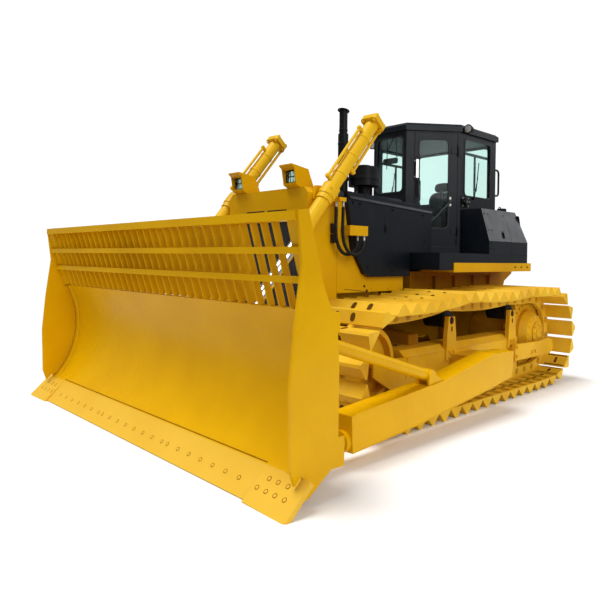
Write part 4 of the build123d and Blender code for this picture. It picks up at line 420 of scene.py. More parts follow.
# ---- Track shoes ----
# Each triangular shoe is a bent plate closed by welded end plates and bolted to the links of the chain.
# Oval holes in both slanted faces, over the rails, let a socket reach the bolts inside and let the mud out;
# the edge of each stands up as a rim.
TRACK_X = 1125
SHOE_RIDGE_AREA = 0.91 * 0.030
RIDGE_AREA_SLACK = 0.0004
HOLE_SPREAD = 100
HOLE_LONG, HOLE_WIDE = 88, 58
HOLE_RIM = 4
FACE_MIDDLE = (59.5, -48.0)
FACE_OUT = (0.0, 0.733, 0.680)
# The shoes' holes are not cut. Each is a thin plate in this painted shade, the brown dark of the shadow
# inside an open hole, and the slots of the shoes' inner faces use it too.
hole_shadow = plain_finish("shoe_hole_shadow", (0.085, 0.038, 0.004), (0.130, 0.060, 0.008), 0.7, 9.0, 0.0003,
                           Specular_IOR_Level=0.05)
# A darker painted shade: the dark of the shadow in open slots, slits and holes, and on bolts in shade, for
# fittings further on.
painted_shade_iron = plain_finish("shadowed_iron", (0.050, 0.024, 0.006), (0.085, 0.042, 0.012), 0.7, 9.0, 0.0003,
                    Specular_IOR_Level=0.1)


def flat_panel(place, low, high, corner):
    """A flat face between two corners in mm on place's first two axes, with round corners if asked."""
    panel = bmesh.new()
    middle = Matrix.Translation(((low[0] + high[0]) / 2 * MM, (low[1] + high[1]) / 2 * MM, 0.0))
    size = Matrix.Diagonal(((high[0] - low[0]) * MM, (high[1] - low[1]) * MM, 1.0, 1.0))
    bmesh.ops.create_grid(panel, x_segments=1, y_segments=1, size=0.5, matrix=place @ middle @ size)
    if corner:
        bmesh.ops.bevel(panel, geom=panel.verts[:], offset=corner * MM, affect="VERTICES", segments=4,
                        profile=0.5, material=-1)
    return panel


def add_panel(shape, place, low, high, thick, corner=0.0, edge=0.0, band=0.0):
    """A plate standing out of place by its thickness, or with a band a ring of that width."""
    panel = flat_panel(place, low, high, corner)
    if band:
        ring = bmesh.ops.inset_region(panel, faces=panel.faces[:], thickness=band * MM, use_even_offset=True,
                                      use_boundary=True)
        inside = [face for face in panel.faces if face not in ring["faces"]]
        bmesh.ops.delete(panel, geom=inside, context="FACES")
    grown = bmesh.ops.extrude_face_region(panel, geom=panel.faces[:])["geom"]
    top = [part for part in grown if isinstance(part, bmesh.types.BMVert)]
    bmesh.ops.translate(panel, verts=top, vec=place.to_3x3().col[2] * thick * MM)
    if edge:
        raised = set(top)
        rim = [line for line in panel.edges if raised.issuperset(line.verts)
               and (not line.is_manifold or line.calc_face_angle(0.0) > 0.5)]
        bmesh.ops.bevel(panel, geom=rim, offset=edge * MM, affect="EDGES", segments=2, profile=0.5,
                        material=-1)
    carried = bpy.data.meshes.new("panel")
    panel.to_mesh(carried)
    panel.free()
    shape.from_mesh(carried)
    bpy.data.meshes.remove(carried)


def shoe_ridges(node):
    """A matrix for each shoe, at the middle of its ridge, with Z outward and X across the track."""
    halves = []
    for face in cad[node].data.polygons:
        if abs(face.area - SHOE_RIDGE_AREA / 2) < RIDGE_AREA_SLACK and abs(face.normal.x) < 0.01:
            halves.append((face.center.copy(), face.normal.copy()))
    ridges = []
    for number, (middle, out) in enumerate(halves):
        for other, other_out in halves[number + 1:]:
            step = other - middle
            if out.dot(other_out) > 0.999 and Vector((0.0, step.y, step.z)).length < 0.03:
                across = Vector((1.0, 0.0, 0.0))
                turn = Matrix((across, out.cross(across), out)).transposed().to_4x4()
                ridges.append(Matrix.Translation((middle + other) / 2) @ turn)
    return ridges


for side, hand in ((1, "left"), (-1, "right")):
    holes = bmesh.new()
    rims = bmesh.new()
    for ridge in shoe_ridges(f"track_{hand}"):
        for lean in (1, -1):
            for across in (-HOLE_SPREAD, HOLE_SPREAD):
                spot = Vector(((side * TRACK_X + across) * MM, 0.0, 0.0))
                spot += Vector((-ridge.translation.x, lean * FACE_MIDDLE[0] * MM, FACE_MIDDLE[1] * MM))
                out = Vector((FACE_OUT[0], lean * FACE_OUT[1], FACE_OUT[2]))
                across_face = Vector((1.0, 0.0, 0.0))
                turn = Matrix((across_face, out.cross(across_face), out)).transposed().to_4x4()
                place = ridge @ Matrix.Translation(spot) @ turn
                low = (-HOLE_WIDE / 2, -HOLE_LONG / 2)
                high = (HOLE_WIDE / 2, HOLE_LONG / 2)
                add_panel(holes, place, low, high, 0.8, corner=HOLE_WIDE / 2 - 1)
                rim_low = (low[0] - HOLE_RIM, low[1] - HOLE_RIM)
                rim_high = (high[0] + HOLE_RIM, high[1] + HOLE_RIM)
                add_panel(rims, place, rim_low, rim_high, 2.5, corner=HOLE_WIDE / 2 + 3, band=HOLE_RIM)
    make_piece(f"shoe_holes_{hand}", holes, hole_shadow, "machine", "dark_iron")
    make_piece(f"shoe_hole_rims_{hand}", rims, dusty_shoe_enamel_and_highlight, "machine", "yellow_paint")

# ---- Track chain ----
# Forged links are joined by hardened pins, whose ends and collars show on both sides of the rails. The
# inner faces of the shoes on the ground run show slots, where earth drops through. Each is a thin plate in
# painted shade, the dark of the open slot.
CHAIN_PIN_DROP = -176
LINK_PITCH = 216
RAIL_OUTER_FACES = (TRACK_X - 122, TRACK_X + 122)
INNER_FACE_DROP = -110
LONG_SLOTS = ((TRACK_X - 440, TRACK_X - 180), (TRACK_X + 180, TRACK_X + 440))
LONG_SLOT_ROWS = (-82, 82)
CROSS_SLOTS = (TRACK_X - 310, TRACK_X + 310)


def add_rod(shape, start, end, radius, sides=8, taper=1.0):
    """A straight round bar between two places, its radius in mm."""
    along = end - start
    bmesh.ops.create_cone(shape, cap_ends=True, segments=sides, radius1=radius * MM,
                          radius2=radius * taper * MM, depth=along.length,
                          matrix=facing((start + end) / 2, along))


def add_bolt(shape, place, out, across=30):
    """A hexagon head on its round washer, standing on a plate; across is its width over the flats in mm."""
    out = Vector(out)
    add_rod(shape, place - out * 2 * MM, place + out * 0.12 * across * MM, 0.88 * across, sides=12)
    add_rod(shape, place, place + out * 0.62 * across * MM, 0.577 * across, sides=6, taper=0.93)


def add_bolts(shape, out, across, places):
    """Like bolts, one at each place."""
    for place in places:
        add_bolt(shape, place, out, across)


def ring_of(centre, out, radius, count, start=0.0):
    """Places spaced evenly round a circle; centre in metres, radius in mm."""
    stand = facing(centre, out)
    for number in range(count):
        angle = start + math.tau * number / count
        yield stand @ Vector((radius * MM * math.cos(angle), radius * MM * math.sin(angle), 0.0))


def mirrored(shape):
    """The same shape again on the machine's other side."""
    bmesh.ops.mirror(shape, geom=shape.verts[:] + shape.edges[:] + shape.faces[:], axis="X", merge_dist=0.0)
    return shape


chain = bmesh.new()
for ridge in shoe_ridges("track_left"):
    pin = ridge @ Vector((-ridge.translation.x, LINK_PITCH / 2 * MM, CHAIN_PIN_DROP * MM))
    for face_x, out_x in zip(RAIL_OUTER_FACES, (-1, 1)):
        centre = pin + Vector((face_x * MM, 0.0, 0.0))
        out = Vector((out_x, 0.0, 0.0))
        add_rod(chain, centre - out * 3 * MM, centre + out * 5 * MM, 46, sides=14, taper=0.9)
        add_rod(chain, centre, centre + out * 13 * MM, 24, sides=12, taper=0.85)
inner_slot_shades = bmesh.new()
for ridge in shoe_ridges("track_left"):
    if ridge.col[2].z < -0.5:
        inner = ridge @ Matrix.Translation((-ridge.translation.x, 0.0, INNER_FACE_DROP * MM))
        inner = inner @ Matrix.Rotation(math.pi, 4, "X")
        for v in LONG_SLOT_ROWS:
            for low, high in LONG_SLOTS:
                add_panel(inner_slot_shades, inner, (low, v - 9), (high, v + 9), 0.8, corner=8)
        for x in CROSS_SLOTS:
            add_panel(inner_slot_shades, inner, (x - 16, -50), (x + 16, 50), 0.8, corner=14)
make_piece("shoe_inner_slots", mirrored(inner_slot_shades), hole_shadow, "machine", "dark_iron")
chain_iron = plain_finish("chain_iron", (0.500, 0.255, 0.010), (0.620, 0.325, 0.014), 0.5, 7.0, 0.0003,
                          Specular_IOR_Level=0.2)
make_piece("chain_pins", mirrored(chain), chain_iron, "machine", "dark_iron")

# ---- Sprocket and final-drive bolts ----
# The sprocket's toothed segments are bolted to its hub, with a head on both sides. The final drive is
# closed by a stepped cover with three circles of bolts and a turned cap over its middle.
SPROCKET = (5393, 655)
LEFT = (1, 0, 0)
SEGMENT_FACES = ((1162, 1), (1088, -1))
COVER_STEPS = ((1208, 28, 272, 20), (1292, 26, 206, 14), (1338, 24, 118, 8))
COVER_CAP = ((-2, 0), (-2, 62), (8, 62), (14, 54), (14, 0))
gear = bmesh.new()
for face_x, out_x in SEGMENT_FACES:
    out = Vector((out_x, 0, 0))
    add_bolts(gear, out, 32, ring_of(at(face_x, *SPROCKET), out, 372, 27))
outward = Vector(LEFT)
for face_x, across, radius, count in COVER_STEPS:
    add_bolts(gear, outward, across, ring_of(at(face_x, *SPROCKET), outward, radius, count))
add_turned(gear, at(COVER_STEPS[-1][0], *SPROCKET), outward, COVER_CAP, segments=20)
make_piece("drive_bolts", mirrored(gear), gear_enamel, "machine", "yellow_paint")

# ---- Track frame fittings ----
# Weld beads join the roller frame's plates. Two bolts a side hold each track roller, four hold the foot of
# each carrier post, which has an oval slot near its top, and four more the plate outside the final drive.
ROLLER_STATIONS = [2500 + number * 2280 / 7 for number in range(8)]
CARRIER_STATIONS = (3264, 4690)
ROLLER_BOLT_PLACE = (1290, 446)
FRAME_FACE, POST_FACE, TAIL_PLATE_FACE = 1301, 1321, 1402
TAIL_BOLTS = ((4640, 430), (4640, 545), (5076, 442), (5167, 444))


def add_bead(shape, start, end, radius, ripple=14):
    """A weld bead: a rounded rib with the ripples of the torch."""
    length = (end - start).length / MM
    count = max(2, round(length / ripple))
    profile = [(0, 0)]
    for number in range(count + 1):
        profile.append((length * number / count, radius * (1.0 if number % 2 else 0.80)))
    profile.append((length, 0))
    add_turned(shape, start, end - start, profile, segments=6)


def facing_side(x):
    """A plane facing out at x, measured by station and height."""
    return facing(at(x, 0, 0), LEFT)


frame_parts = bmesh.new()
for station in ROLLER_STATIONS:
    for shift in (-46, 46):
        add_bolt(frame_parts, at(ROLLER_BOLT_PLACE[0], station + shift, ROLLER_BOLT_PLACE[1]), LEFT, 30)
for station in CARRIER_STATIONS:
    for height in (560, 620):
        for shift in (-36, 36):
            add_bolt(frame_parts, at(POST_FACE, station + shift, height), LEFT, 26)
for station, height in TAIL_BOLTS:
    add_bolt(frame_parts, at(TAIL_PLATE_FACE, station, height), LEFT, 34)
for station in (2470, 3216, 4640):
    add_bead(frame_parts, at(FRAME_FACE + 1, station, 500), at(FRAME_FACE + 1, station, 636), 7)
add_bead(frame_parts, at(FRAME_FACE, 2440, 638), at(FRAME_FACE, 4860, 638), 6)
make_piece("track_frame_fittings", mirrored(frame_parts), gear_enamel, "machine", "yellow_paint")

# Each post's oval slot is not cut: it is a thin plate in painted shade, the dark of the open slot.
slots = bmesh.new()
for station in CARRIER_STATIONS:
    add_panel(slots, facing_side(POST_FACE - 0.4), (station - 14, 838), (station + 14, 898), 0.8, corner=13)
make_piece("carrier_post_slots", mirrored(slots), painted_shade_iron, "machine", "dark_iron")

# ---- Push arm fittings ----
# Each arm is a box welded up of thick plate. A bead runs along the lower and the upper corner of its outer
# side, in two lengths that meet at the bend.


def land(name, start, towards):
    """Where a line from start first meets a carried-over piece, and the way its surface faces there."""
    met, spot, normal, _ = cad[name].ray_cast(start, Vector(towards))
    if not met:
        raise ValueError(f"nothing of {name} beyond {tuple(start)}")
    return spot, normal


ARM_OUTER_X = 1850
ARM_BEADS = (((1010, 130), (1810, 184)), ((1820, 184), (3200, 328)),
             ((1010, 424), (2240, 513)), ((2260, 516), (3210, 668)))
for side, hand in ((1, "left"), (-1, "right")):
    arm = bmesh.new()
    for start, end in ARM_BEADS:
        add_bead(arm, at(ARM_OUTER_X, *start), at(ARM_OUTER_X, *end), 5)
    if side < 0:
        bmesh.ops.scale(arm, verts=arm.verts[:], vec=(-1, 1, 1))
    make_piece(f"push_arm_bolts_{hand}", arm, blade_enamel, "blade", "yellow_paint")

# ---- Blade edge bolts ----
# Countersunk plough bolts hold the cutting edge and the end bits: round heads sunk in square-necked holes,
# whose gap is drawn as a dark ring in painted shade, the shadow in the gap round each head.
EDGE_HEIGHT, UPPER_HEIGHT = 92, 150
EDGE_X = [79, 236, 394, 551] + [640 + 157.5 * number for number in range(7)]
END_BIT_X = (1800, 1890, 1980, 2070)
END_BIT_UPPER_X = (1852, 1940, 2034)
PLOUGH_HEAD = ((0, 0), (0, 13), (3.5, 13), (5.5, 10), (6.5, 5), (6.8, 0))


def add_plough_bolt(gaps, heads, spot, out):
    """A round domed head, standing in a dark disc of painted shade that is a little wider."""
    add_rod(gaps, spot - out * 2 * MM, spot + out * 0.8 * MM, 18.5, sides=16)
    add_turned(heads, spot - out * 2 * MM, out, PLOUGH_HEAD, segments=14)


AHEAD_OF_BLADE = -600
BACKWARD = (0, 1, 0)
joint_shadow = plain_finish("joint_shadow", (0.230, 0.100, 0.002), (0.300, 0.135, 0.003), 0.6, 9.0,
                            Specular_IOR_Level=0.05)
gaps, heads = bmesh.new(), bmesh.new()
for row, height in ((EDGE_X, EDGE_HEIGHT), (END_BIT_X, EDGE_HEIGHT), (END_BIT_UPPER_X, UPPER_HEIGHT)):
    for x in row:
        for side in (1, -1):
            spot, out = land("cutting_edge", at(side * x, AHEAD_OF_BLADE, height), BACKWARD)
            add_plough_bolt(gaps, heads, spot, out)
make_piece("edge_bolt_gaps", gaps, joint_shadow, "blade", "dark_iron")
make_piece("edge_bolt_heads", heads, edge_enamel, "blade", "yellow_paint")

# ---- Moldboard seams ----
# The rolled moldboard is lined at both ends with a thin wear plate, and welded to its side plates. The open
# joint over the cutting edge is drawn as a dark line in painted shade, the shadow in the joint.
WEAR_PLATE_X = (1952, 2086)
WEAR_PLATE = 5
FACING_AHEAD = -0.55
JOINT_HALF, JOINT_HEIGHT = 1748, 216
RACK_BEAD_PLACE, RACK_BEAD_HEIGHTS = (1986, 300), (1484, 1678)
CORNER_X = 2076
CORNER_HEIGHTS = (240, 360, 480, 600, 720, 840, 960, 1080, 1180, 1270)
worn = bmesh.new()
worn.from_mesh(cad["moldboard"].data)
bmesh.ops.remove_doubles(worn, verts=worn.verts[:], dist=0.0001)
for x, keep_outer in zip(WEAR_PLATE_X, (True, False)):
    bmesh.ops.bisect_plane(worn, geom=worn.verts[:] + worn.edges[:] + worn.faces[:], plane_co=(x * MM, 0, 0),
                           plane_no=(1, 0, 0), clear_inner=keep_outer, clear_outer=not keep_outer)
worn.normal_update()
bmesh.ops.delete(worn, geom=[face for face in worn.faces if face.normal.y > FACING_AHEAD], context="FACES")
grown = bmesh.ops.extrude_face_region(worn, geom=worn.faces[:])["geom"]
worn.normal_update()
for point in [part for part in grown if isinstance(part, bmesh.types.BMVert)]:
    point.co += Vector((0, -WEAR_PLATE * MM, 0))
make_piece("moldboard_wear_plates", mirrored(worn), blade_enamel, "blade", "yellow_paint")

joint = bmesh.new()
for ends in ((-JOINT_HALF, 0), (0, JOINT_HALF)):
    start, end = [land("moldboard", at(x, AHEAD_OF_BLADE, JOINT_HEIGHT), BACKWARD)[0] for x in ends]
    add_rod(joint, start, end, 5, sides=6)
make_piece("edge_joint", joint, joint_shadow, "blade", "dark_iron")

beads = bmesh.new()
in_corner = Vector((0.006, -0.003, 0))
places = [land("moldboard", at(CORNER_X, AHEAD_OF_BLADE, height), BACKWARD)[0] + in_corner
          for height in CORNER_HEIGHTS]
for start, end in zip(places, places[1:]):
    add_bead(beads, start, end, 8)
for height in RACK_BEAD_HEIGHTS:
    add_bead(beads, at(*RACK_BEAD_PLACE, height - 30), at(*RACK_BEAD_PLACE, height + 30), 5)
make_piece("blade_weld_beads", mirrored(beads), blade_enamel, "blade", "yellow_paint")

# ---- Lift cylinder fittings ----
# Four tie bolts close each cylinder's head, and bolted caps hold the yoke's trunnions. The barrel goes on
# below the yoke in a tube with a collar, where eight bolts hold the gland over a rubber wiper; straps hold
# the pipes.
TRUNNION = (779, 1830, 2290)
RAM_UP = Vector((0.0, 0.654, 0.756)).normalized()
HEAD_TOP, HEAD_BOLT_SPREAD, YOKE_HALF = 1085, 74, 70
ROD_EYE = (680, 960)
EYE_FACES = ((835, 1), (723, -1))
FOOT_DROP, GLAND_DROP = 118, 488
BARREL_FOOT = ((0, 57), (0, 72), (318, 72), (322, 81), (366, 81), (370, 79), (370, 57), (0, 57))
PIPE_STRAP = ((0, 60), (0, 76.5), (3, 78), (25, 78), (28, 76.5), (28, 60))
STRAP_HALF = 14
STRAPS_UP = (250, 520, 790)
CAP_BOLTS = ((-50, 0), (50, 0), (0, 50), (0, -50))
WIPER = ((0, 55.2), (0, 64), (8, 62), (10, 56), (10, 55.2))
for side, hand in ((1, "left"), (-1, "right")):
    centre = at(side * TRUNNION[0], *TRUNNION[1:])
    across = Vector((1.0, 0.0, 0.0))
    forward = RAM_UP.cross(across)
    ram = bmesh.new()
    for u in (-HEAD_BOLT_SPREAD, HEAD_BOLT_SPREAD):
        for v in (-HEAD_BOLT_SPREAD, HEAD_BOLT_SPREAD):
            corner = centre + RAM_UP * HEAD_TOP * MM + across * u * MM + forward * v * MM
            add_bolt(ram, corner, RAM_UP, 34)
            add_rod(ram, corner - RAM_UP * 62 * MM, corner - RAM_UP * 82 * MM, 17, sides=6)
    add_turned(ram, centre - RAM_UP * FOOT_DROP * MM, -RAM_UP, BARREL_FOOT, segments=32)
    for place in ring_of(centre - RAM_UP * GLAND_DROP * MM, -RAM_UP, 69, 8, 0.3):
        add_bolt(ram, place, -RAM_UP, 15)
    for face in (-1, 1):
        for u, v in CAP_BOLTS:
            spot = centre + across * face * YOKE_HALF * MM + RAM_UP * u * MM + forward * v * MM
            add_bolt(ram, spot, across * face, 24)
    for along in STRAPS_UP:
        spot = centre + RAM_UP * along * MM
        add_turned(ram, spot - RAM_UP * STRAP_HALF * MM, RAM_UP, PIPE_STRAP, segments=28)
    make_piece(f"lift_cylinder_bolts_{hand}", ram, cylinder_enamel_and_highlight, f"lift_barrel_{hand}", "yellow_paint")
    wiper = bmesh.new()
    add_turned(wiper, centre - RAM_UP * (GLAND_DROP - 1) * MM, -RAM_UP, WIPER, segments=28)
    make_piece(f"rod_wiper_{hand}", wiper, rubber, f"lift_barrel_{hand}", "hose_rubber")
    eye = bmesh.new()
    for face_x, out_x in EYE_FACES:
        middle = at(side * face_x, *ROD_EYE)
        out = Vector((side * out_x, 0, 0))
        for place in ring_of(middle, out, 62, 6):
            add_bolt(eye, place, out, 14)
    make_piece(f"rod_eye_bolts_{hand}", eye, enamel, f"lift_piston_{hand}", "yellow_paint")

# ---- Lift rods ----
# The piston rods are hard-chromed and ground, and the casting at the foot that holds the eye is painted.
# One finish serves both, and changes over a few millimetres, this far in metres up the rod from the eye.
CHROME_FROM = 0.20
CHANGE_OVER = 0.004
rod_finish, tree, shader, place = new_finish("chromed_rod_and_painted_eye")
along = tree.nodes.new("ShaderNodeVectorMath")
along.operation = "DOT_PRODUCT"
along.inputs[1].default_value = RAM_UP
tree.links.new(place, along.inputs[0])
foot = at(0, *ROD_EYE).dot(RAM_UP) + CHROME_FROM
plated = ramp(tree, along.outputs["Value"], foot, foot + CHANGE_OVER, 0.0, 1.0)
ground_rod = blend_colours(tree, grain(tree, place, 30.0), (0.80, 0.80, 0.79), (0.88, 0.88, 0.87))
tree.links.new(blend_colours(tree, plated, YELLOW, ground_rod), shader.inputs["Base Color"])
tree.links.new(plated, shader.inputs["Metallic"])
tree.links.new(ramp(tree, plated, 0.0, 1.0, 0.34, 0.12), shader.inputs["Roughness"])
paint_nodes(rod_finish, "lift_rod_left lift_rod_right")

# ---- Radiator mesh ----
# Woven wire in front of the radiator's grille keeps branches out: two sets of thin wires cross in diamonds
# over the whole of the guard's window, one set just before the other.
WINDOW_HALF_WIDTH, WINDOW_LOW, WINDOW_HIGH = 532, 1040, 2020
DIAMOND_WIDE, DIAMOND_HIGH = 44, 34
MESH_STATION = 1694
slope = DIAMOND_HIGH / DIAMOND_WIDE
wires = bmesh.new()
first = int((WINDOW_LOW - slope * WINDOW_HALF_WIDTH) / DIAMOND_HIGH)
last = int((WINDOW_HIGH + slope * WINDOW_HALF_WIDTH) / DIAMOND_HIGH)
for number in range(first, last + 1):
    rise = number * DIAMOND_HIGH
    low = max(-WINDOW_HALF_WIDTH, (WINDOW_LOW - rise) / slope)
    high = min(WINDOW_HALF_WIDTH, (WINDOW_HIGH - rise) / slope)
    if high - low > 10:
        for lean, station in ((1, MESH_STATION - 1.5), (-1, MESH_STATION + 1.5)):
            start = at(lean * low, station, slope * low + rise)
            end = at(lean * high, station, slope * high + rise)
            add_rod(wires, start, end, 3, sides=5)
wire = plain_finish("mesh_wire", (0.065, 0.072, 0.085), (0.100, 0.110, 0.130), 0.4, 10.0)
make_piece("radiator_mesh", wires, wire, "machine", "black_steel")

# ---- Guard fittings ----
# The guard's front plate is bolted to its box at both sides and over the window, and a weld bead runs up
# each side at the rear. Wires cross before each headlamp, whose ribbed silver shows through a lens in a
# rubber rim.
GUARD_FRONT, GUARD_SIDE = 1678, 642
BOLT_LINE_X, BOLT_LINE_HEIGHT = 588, 2050
FORWARD = (0, -1, 0)
GUARD_WELD = (2120, 1262, 2255)


def facing_front(station):
    """A plane facing forward at a station, measured by x and height."""
    return facing(at(0, station, 0), FORWARD)


guard = bmesh.new()
for height in range(1080, 2100, 145):
    add_bolts(guard, FORWARD, 24, [at(x, GUARD_FRONT, height) for x in (-BOLT_LINE_X, BOLT_LINE_X)])
for x in (-480, -240, 0, 240, 480):
    add_bolt(guard, at(x, GUARD_FRONT, BOLT_LINE_HEIGHT), FORWARD, 22)
for x in (GUARD_SIDE + 1, -GUARD_SIDE - 1):
    add_bead(guard, at(x, GUARD_WELD[0], GUARD_WELD[1]), at(x, GUARD_WELD[0], GUARD_WELD[2]), 5)
make_piece("guard_bolts", guard, enamel, "machine", "yellow_paint")

LAMP_X, LAMP_LOW, LAMP_HIGH, LAMP_FRONT = (365, 489), 2399, 2523, 1658
THICK_WIRE_STATION, THIN_WIRE_STATION = LAMP_FRONT - 18, LAMP_FRONT - 16
WIRE_OVERHANG = 8
chrome, tree, shader, place = new_finish("lamp_reflector", Metallic=1.0)
ribs = ramp(tree, grain(tree, place, 60.0, 1.0, (1.0, 0.1, 0.1)), 0.35, 0.65, 0.0, 1.0)
tree.links.new(blend_colours(tree, ribs, (0.62, 0.62, 0.60), (0.86, 0.86, 0.84)), shader.inputs["Base Color"])
tree.links.new(ramp(tree, ribs, 0.0, 1.0, 0.12, 0.3), shader.inputs["Roughness"])
add_relief(tree, shader, ribs, 0.001)
paint_nodes(chrome, "lamps")
rims, guards, lenses = bmesh.new(), bmesh.new(), bmesh.new()
for side in (1, -1):
    low, high = sorted((side * LAMP_X[0], side * LAMP_X[1]))
    add_panel(rims, facing_front(LAMP_FRONT), (low - 9, LAMP_LOW - 9), (high + 9, LAMP_HIGH + 9),
              14, corner=18, edge=3, band=15)
    add_panel(lenses, facing_front(LAMP_FRONT - 3), (low + 8, LAMP_LOW + 8), (high - 8, LAMP_HIGH - 8),
              5, corner=12, edge=2)
    middle, height = (low + high) / 2, (LAMP_LOW + LAMP_HIGH) / 2
    foot, top = LAMP_LOW - WIRE_OVERHANG, LAMP_HIGH + WIRE_OVERHANG
    add_rod(guards, at(middle, THICK_WIRE_STATION, foot), at(middle, THICK_WIRE_STATION, top), 3.5)
    add_rod(guards, at(low - WIRE_OVERHANG, THICK_WIRE_STATION, height),
            at(high + WIRE_OVERHANG, THICK_WIRE_STATION, height), 3.5)
    for shift in (-34, 34):
        add_rod(guards, at(middle + shift, THIN_WIRE_STATION, foot),
                at(middle + shift, THIN_WIRE_STATION, top), 2.5)
make_piece("lamp_rims", rims, rubber, "machine", "hose_rubber")
make_piece("lamp_lenses", lenses, glass, "machine", "tinted_glass")
make_piece("lamp_guards", guards, black, "machine", "black_steel")

# ---- Hood fittings ----
# The side sheets are held by small bolts, and parted by a slit along their foot, drawn as a thin rod in
# painted shade, the dark of the open slit; two bolts beside it are in the same painted shade. The top sheet
# is bolted down along both sides and has a rubber strip across it, and rubber blocks clamp pipes to the
# guard's side.
CLAMP_BLOCK = 34
HOOD_BOLT_X = 560
SLIT = ((2240, 1300), (2632, 1264))
OVER_HOOD = 2600
hood_steel = bmesh.new()
hood_dark = bmesh.new()
hood_black = bmesh.new()
for low, high in ((1790, 1880), (1894, 1992)):
    add_panel(hood_black, facing_side(GUARD_SIDE), (2009, low), (2062, high), CLAMP_BLOCK, corner=4, edge=3)
    add_bolt(hood_black, at(GUARD_SIDE + CLAMP_BLOCK, 2035, (low + high) / 2), LEFT, 16)
for station, height in ((2574, 1326), (2617, 1275)):
    add_bolt(hood_dark, at(GUARD_SIDE, station, height), LEFT, 18)
add_rod(hood_dark, at(GUARD_SIDE - 2, *SLIT[0]), at(GUARD_SIDE - 2, *SLIT[1]), 4.5, sides=6)
for station in (2170, 2420, 2700, 3000, 3240):
    add_bolt(hood_steel, at(GUARD_SIDE, station, 1290 if station > 2650 else 2200), LEFT, 16)
    add_bolt(hood_black, *land("hood", at(HOOD_BOLT_X, station, OVER_HOOD), DOWN), 18)
make_piece("hose_clamp_blocks", mirrored(hood_black), rubber, "machine", "hose_rubber")
make_piece("hood_dark_bolts", mirrored(hood_dark), painted_shade_iron, "machine", "dark_iron")
make_piece("hood_bolts", mirrored(hood_steel), enamel, "machine", "yellow_paint")

strip = bmesh.new()
for half in (1, -1):
    start, end = [land("hood", at(half * x, 2415, OVER_HOOD), DOWN)[0] for x in (4, HOOD_BOLT_X)]
    add_rod(strip, start, end, 5, sides=6)
make_piece("hood_joint", strip, rubber, "machine", "hose_rubber")

# ---- Stack clamps ----
# Band clamps, rolled from flat strip, hold the joints of the exhaust pipe, the air cleaner's foot and its
# bowl. Each is a ring that stands a little proud of the pipe under it.
EXHAUST, CLEANER = (200, 2691), (300, 2950)
CLAMPS = ((EXHAUST, 2560, 62), (EXHAUST, 2960, 62), (EXHAUST, 3120, 50),
          (CLEANER, 2440, 80), (CLEANER, 2568, 188))
UP = (0, 0, 1)
clamps = bmesh.new()
for centre, height, radius in CLAMPS:
    spot = at(*centre, height)
    band = ((0, radius - 8), (0, radius), (4, radius + 1.5), (22, radius + 1.5),
            (26, radius), (26, radius - 8))
    add_turned(clamps, spot, UP, band, segments=36)
make_piece("stack_clamps", clamps, black, "machine", "black_steel")

# ---- Cab window seals ----
# Each fixed pane sits in a black rubber section that grips the sheet round its opening. A narrow strip on
# the frame seals the door's edge; the door's own pane gets its seal with the door.
DOOR_FRONT, DOOR_REAR, CAB_REAR = (265, 3850), (700, 4450), (700, 5390)
SEAL_CORNER, SEAL_LAP = 62, 11


def wall(start, end):
    """A cab wall's outer face, from its front or left post: measured along it and by height."""
    first, last = at(*start, 0), at(*end, 0)
    along = (last - first).normalized()
    up = Vector((0.0, 0.0, 1.0))
    return Matrix.Translation(first) @ Matrix((along, up, along.cross(up))).transposed().to_4x4()


front_wall = wall((-DOOR_FRONT[0], DOOR_FRONT[1]), DOOR_FRONT)
door_wall = wall(DOOR_FRONT, DOOR_REAR)
side_wall = wall(DOOR_REAR, CAB_REAR)
rear_wall = wall(CAB_REAR, (-CAB_REAR[0], CAB_REAR[1]))


def add_seal(shape, place, low, high):
    """A rubber section round an opening, given by its corners on a wall."""
    low = (low[0] - SEAL_LAP, low[1] - SEAL_LAP)
    high = (high[0] + SEAL_LAP, high[1] + SEAL_LAP)
    place = place @ Matrix.Translation((0, 0, -0.008))
    add_panel(shape, place, low, high, 13, corner=SEAL_CORNER + SEAL_LAP, edge=3, band=23)


seals = bmesh.new()
add_seal(seals, side_wall, (96, 2480), (790, 3245))
add_panel(seals, door_wall @ Matrix.Translation((0, 0, -0.010)), (106, 1793), (707, 3292), 12, corner=8,
          edge=3, band=9)
make_piece("cab_side_seals", mirrored(seals), rubber, "machine", "hose_rubber")
seals = bmesh.new()
add_seal(seals, front_wall, (50, 2510), (480, 3245))
add_seal(seals, rear_wall, (110, 2480), (1290, 3245))
make_piece("cab_end_seals", seals, rubber, "machine", "hose_rubber")

# ---- Door handle and stay ----
# The pull handle is a plated bar; the stay bar below it, welded up of tube, is sprayed like the cab. One
# finish serves both, and changes from paint to plating at this height in metres.
HANDLE_FOOT = 2.6
CHANGE_HALF = 0.01
handle_finish, tree, shader, place = new_finish("plated_and_painted_bar", Specular_IOR_Level=0.3)
split = tree.nodes.new("ShaderNodeSeparateXYZ")
tree.links.new(place, split.inputs["Vector"])
plated = ramp(tree, split.outputs["Z"], HANDLE_FOOT - CHANGE_HALF, HANDLE_FOOT + CHANGE_HALF, 0.0, 1.0)
brushed = ramp(tree, grain(tree, place, 40.0), 0.3, 0.7, 0.0, 1.0)
metal = blend_colours(tree, brushed, (0.58, 0.57, 0.55), (0.74, 0.73, 0.70))
tree.links.new(blend_colours(tree, plated, (0.010, 0.013, 0.016), metal), shader.inputs["Base Color"])
tree.links.new(plated, shader.inputs["Metallic"])
tree.links.new(ramp(tree, brushed, 0.0, 1.0, 0.22, 0.36), shader.inputs["Roughness"])
paint_nodes(handle_finish, "door_handle_left door_handle_right")

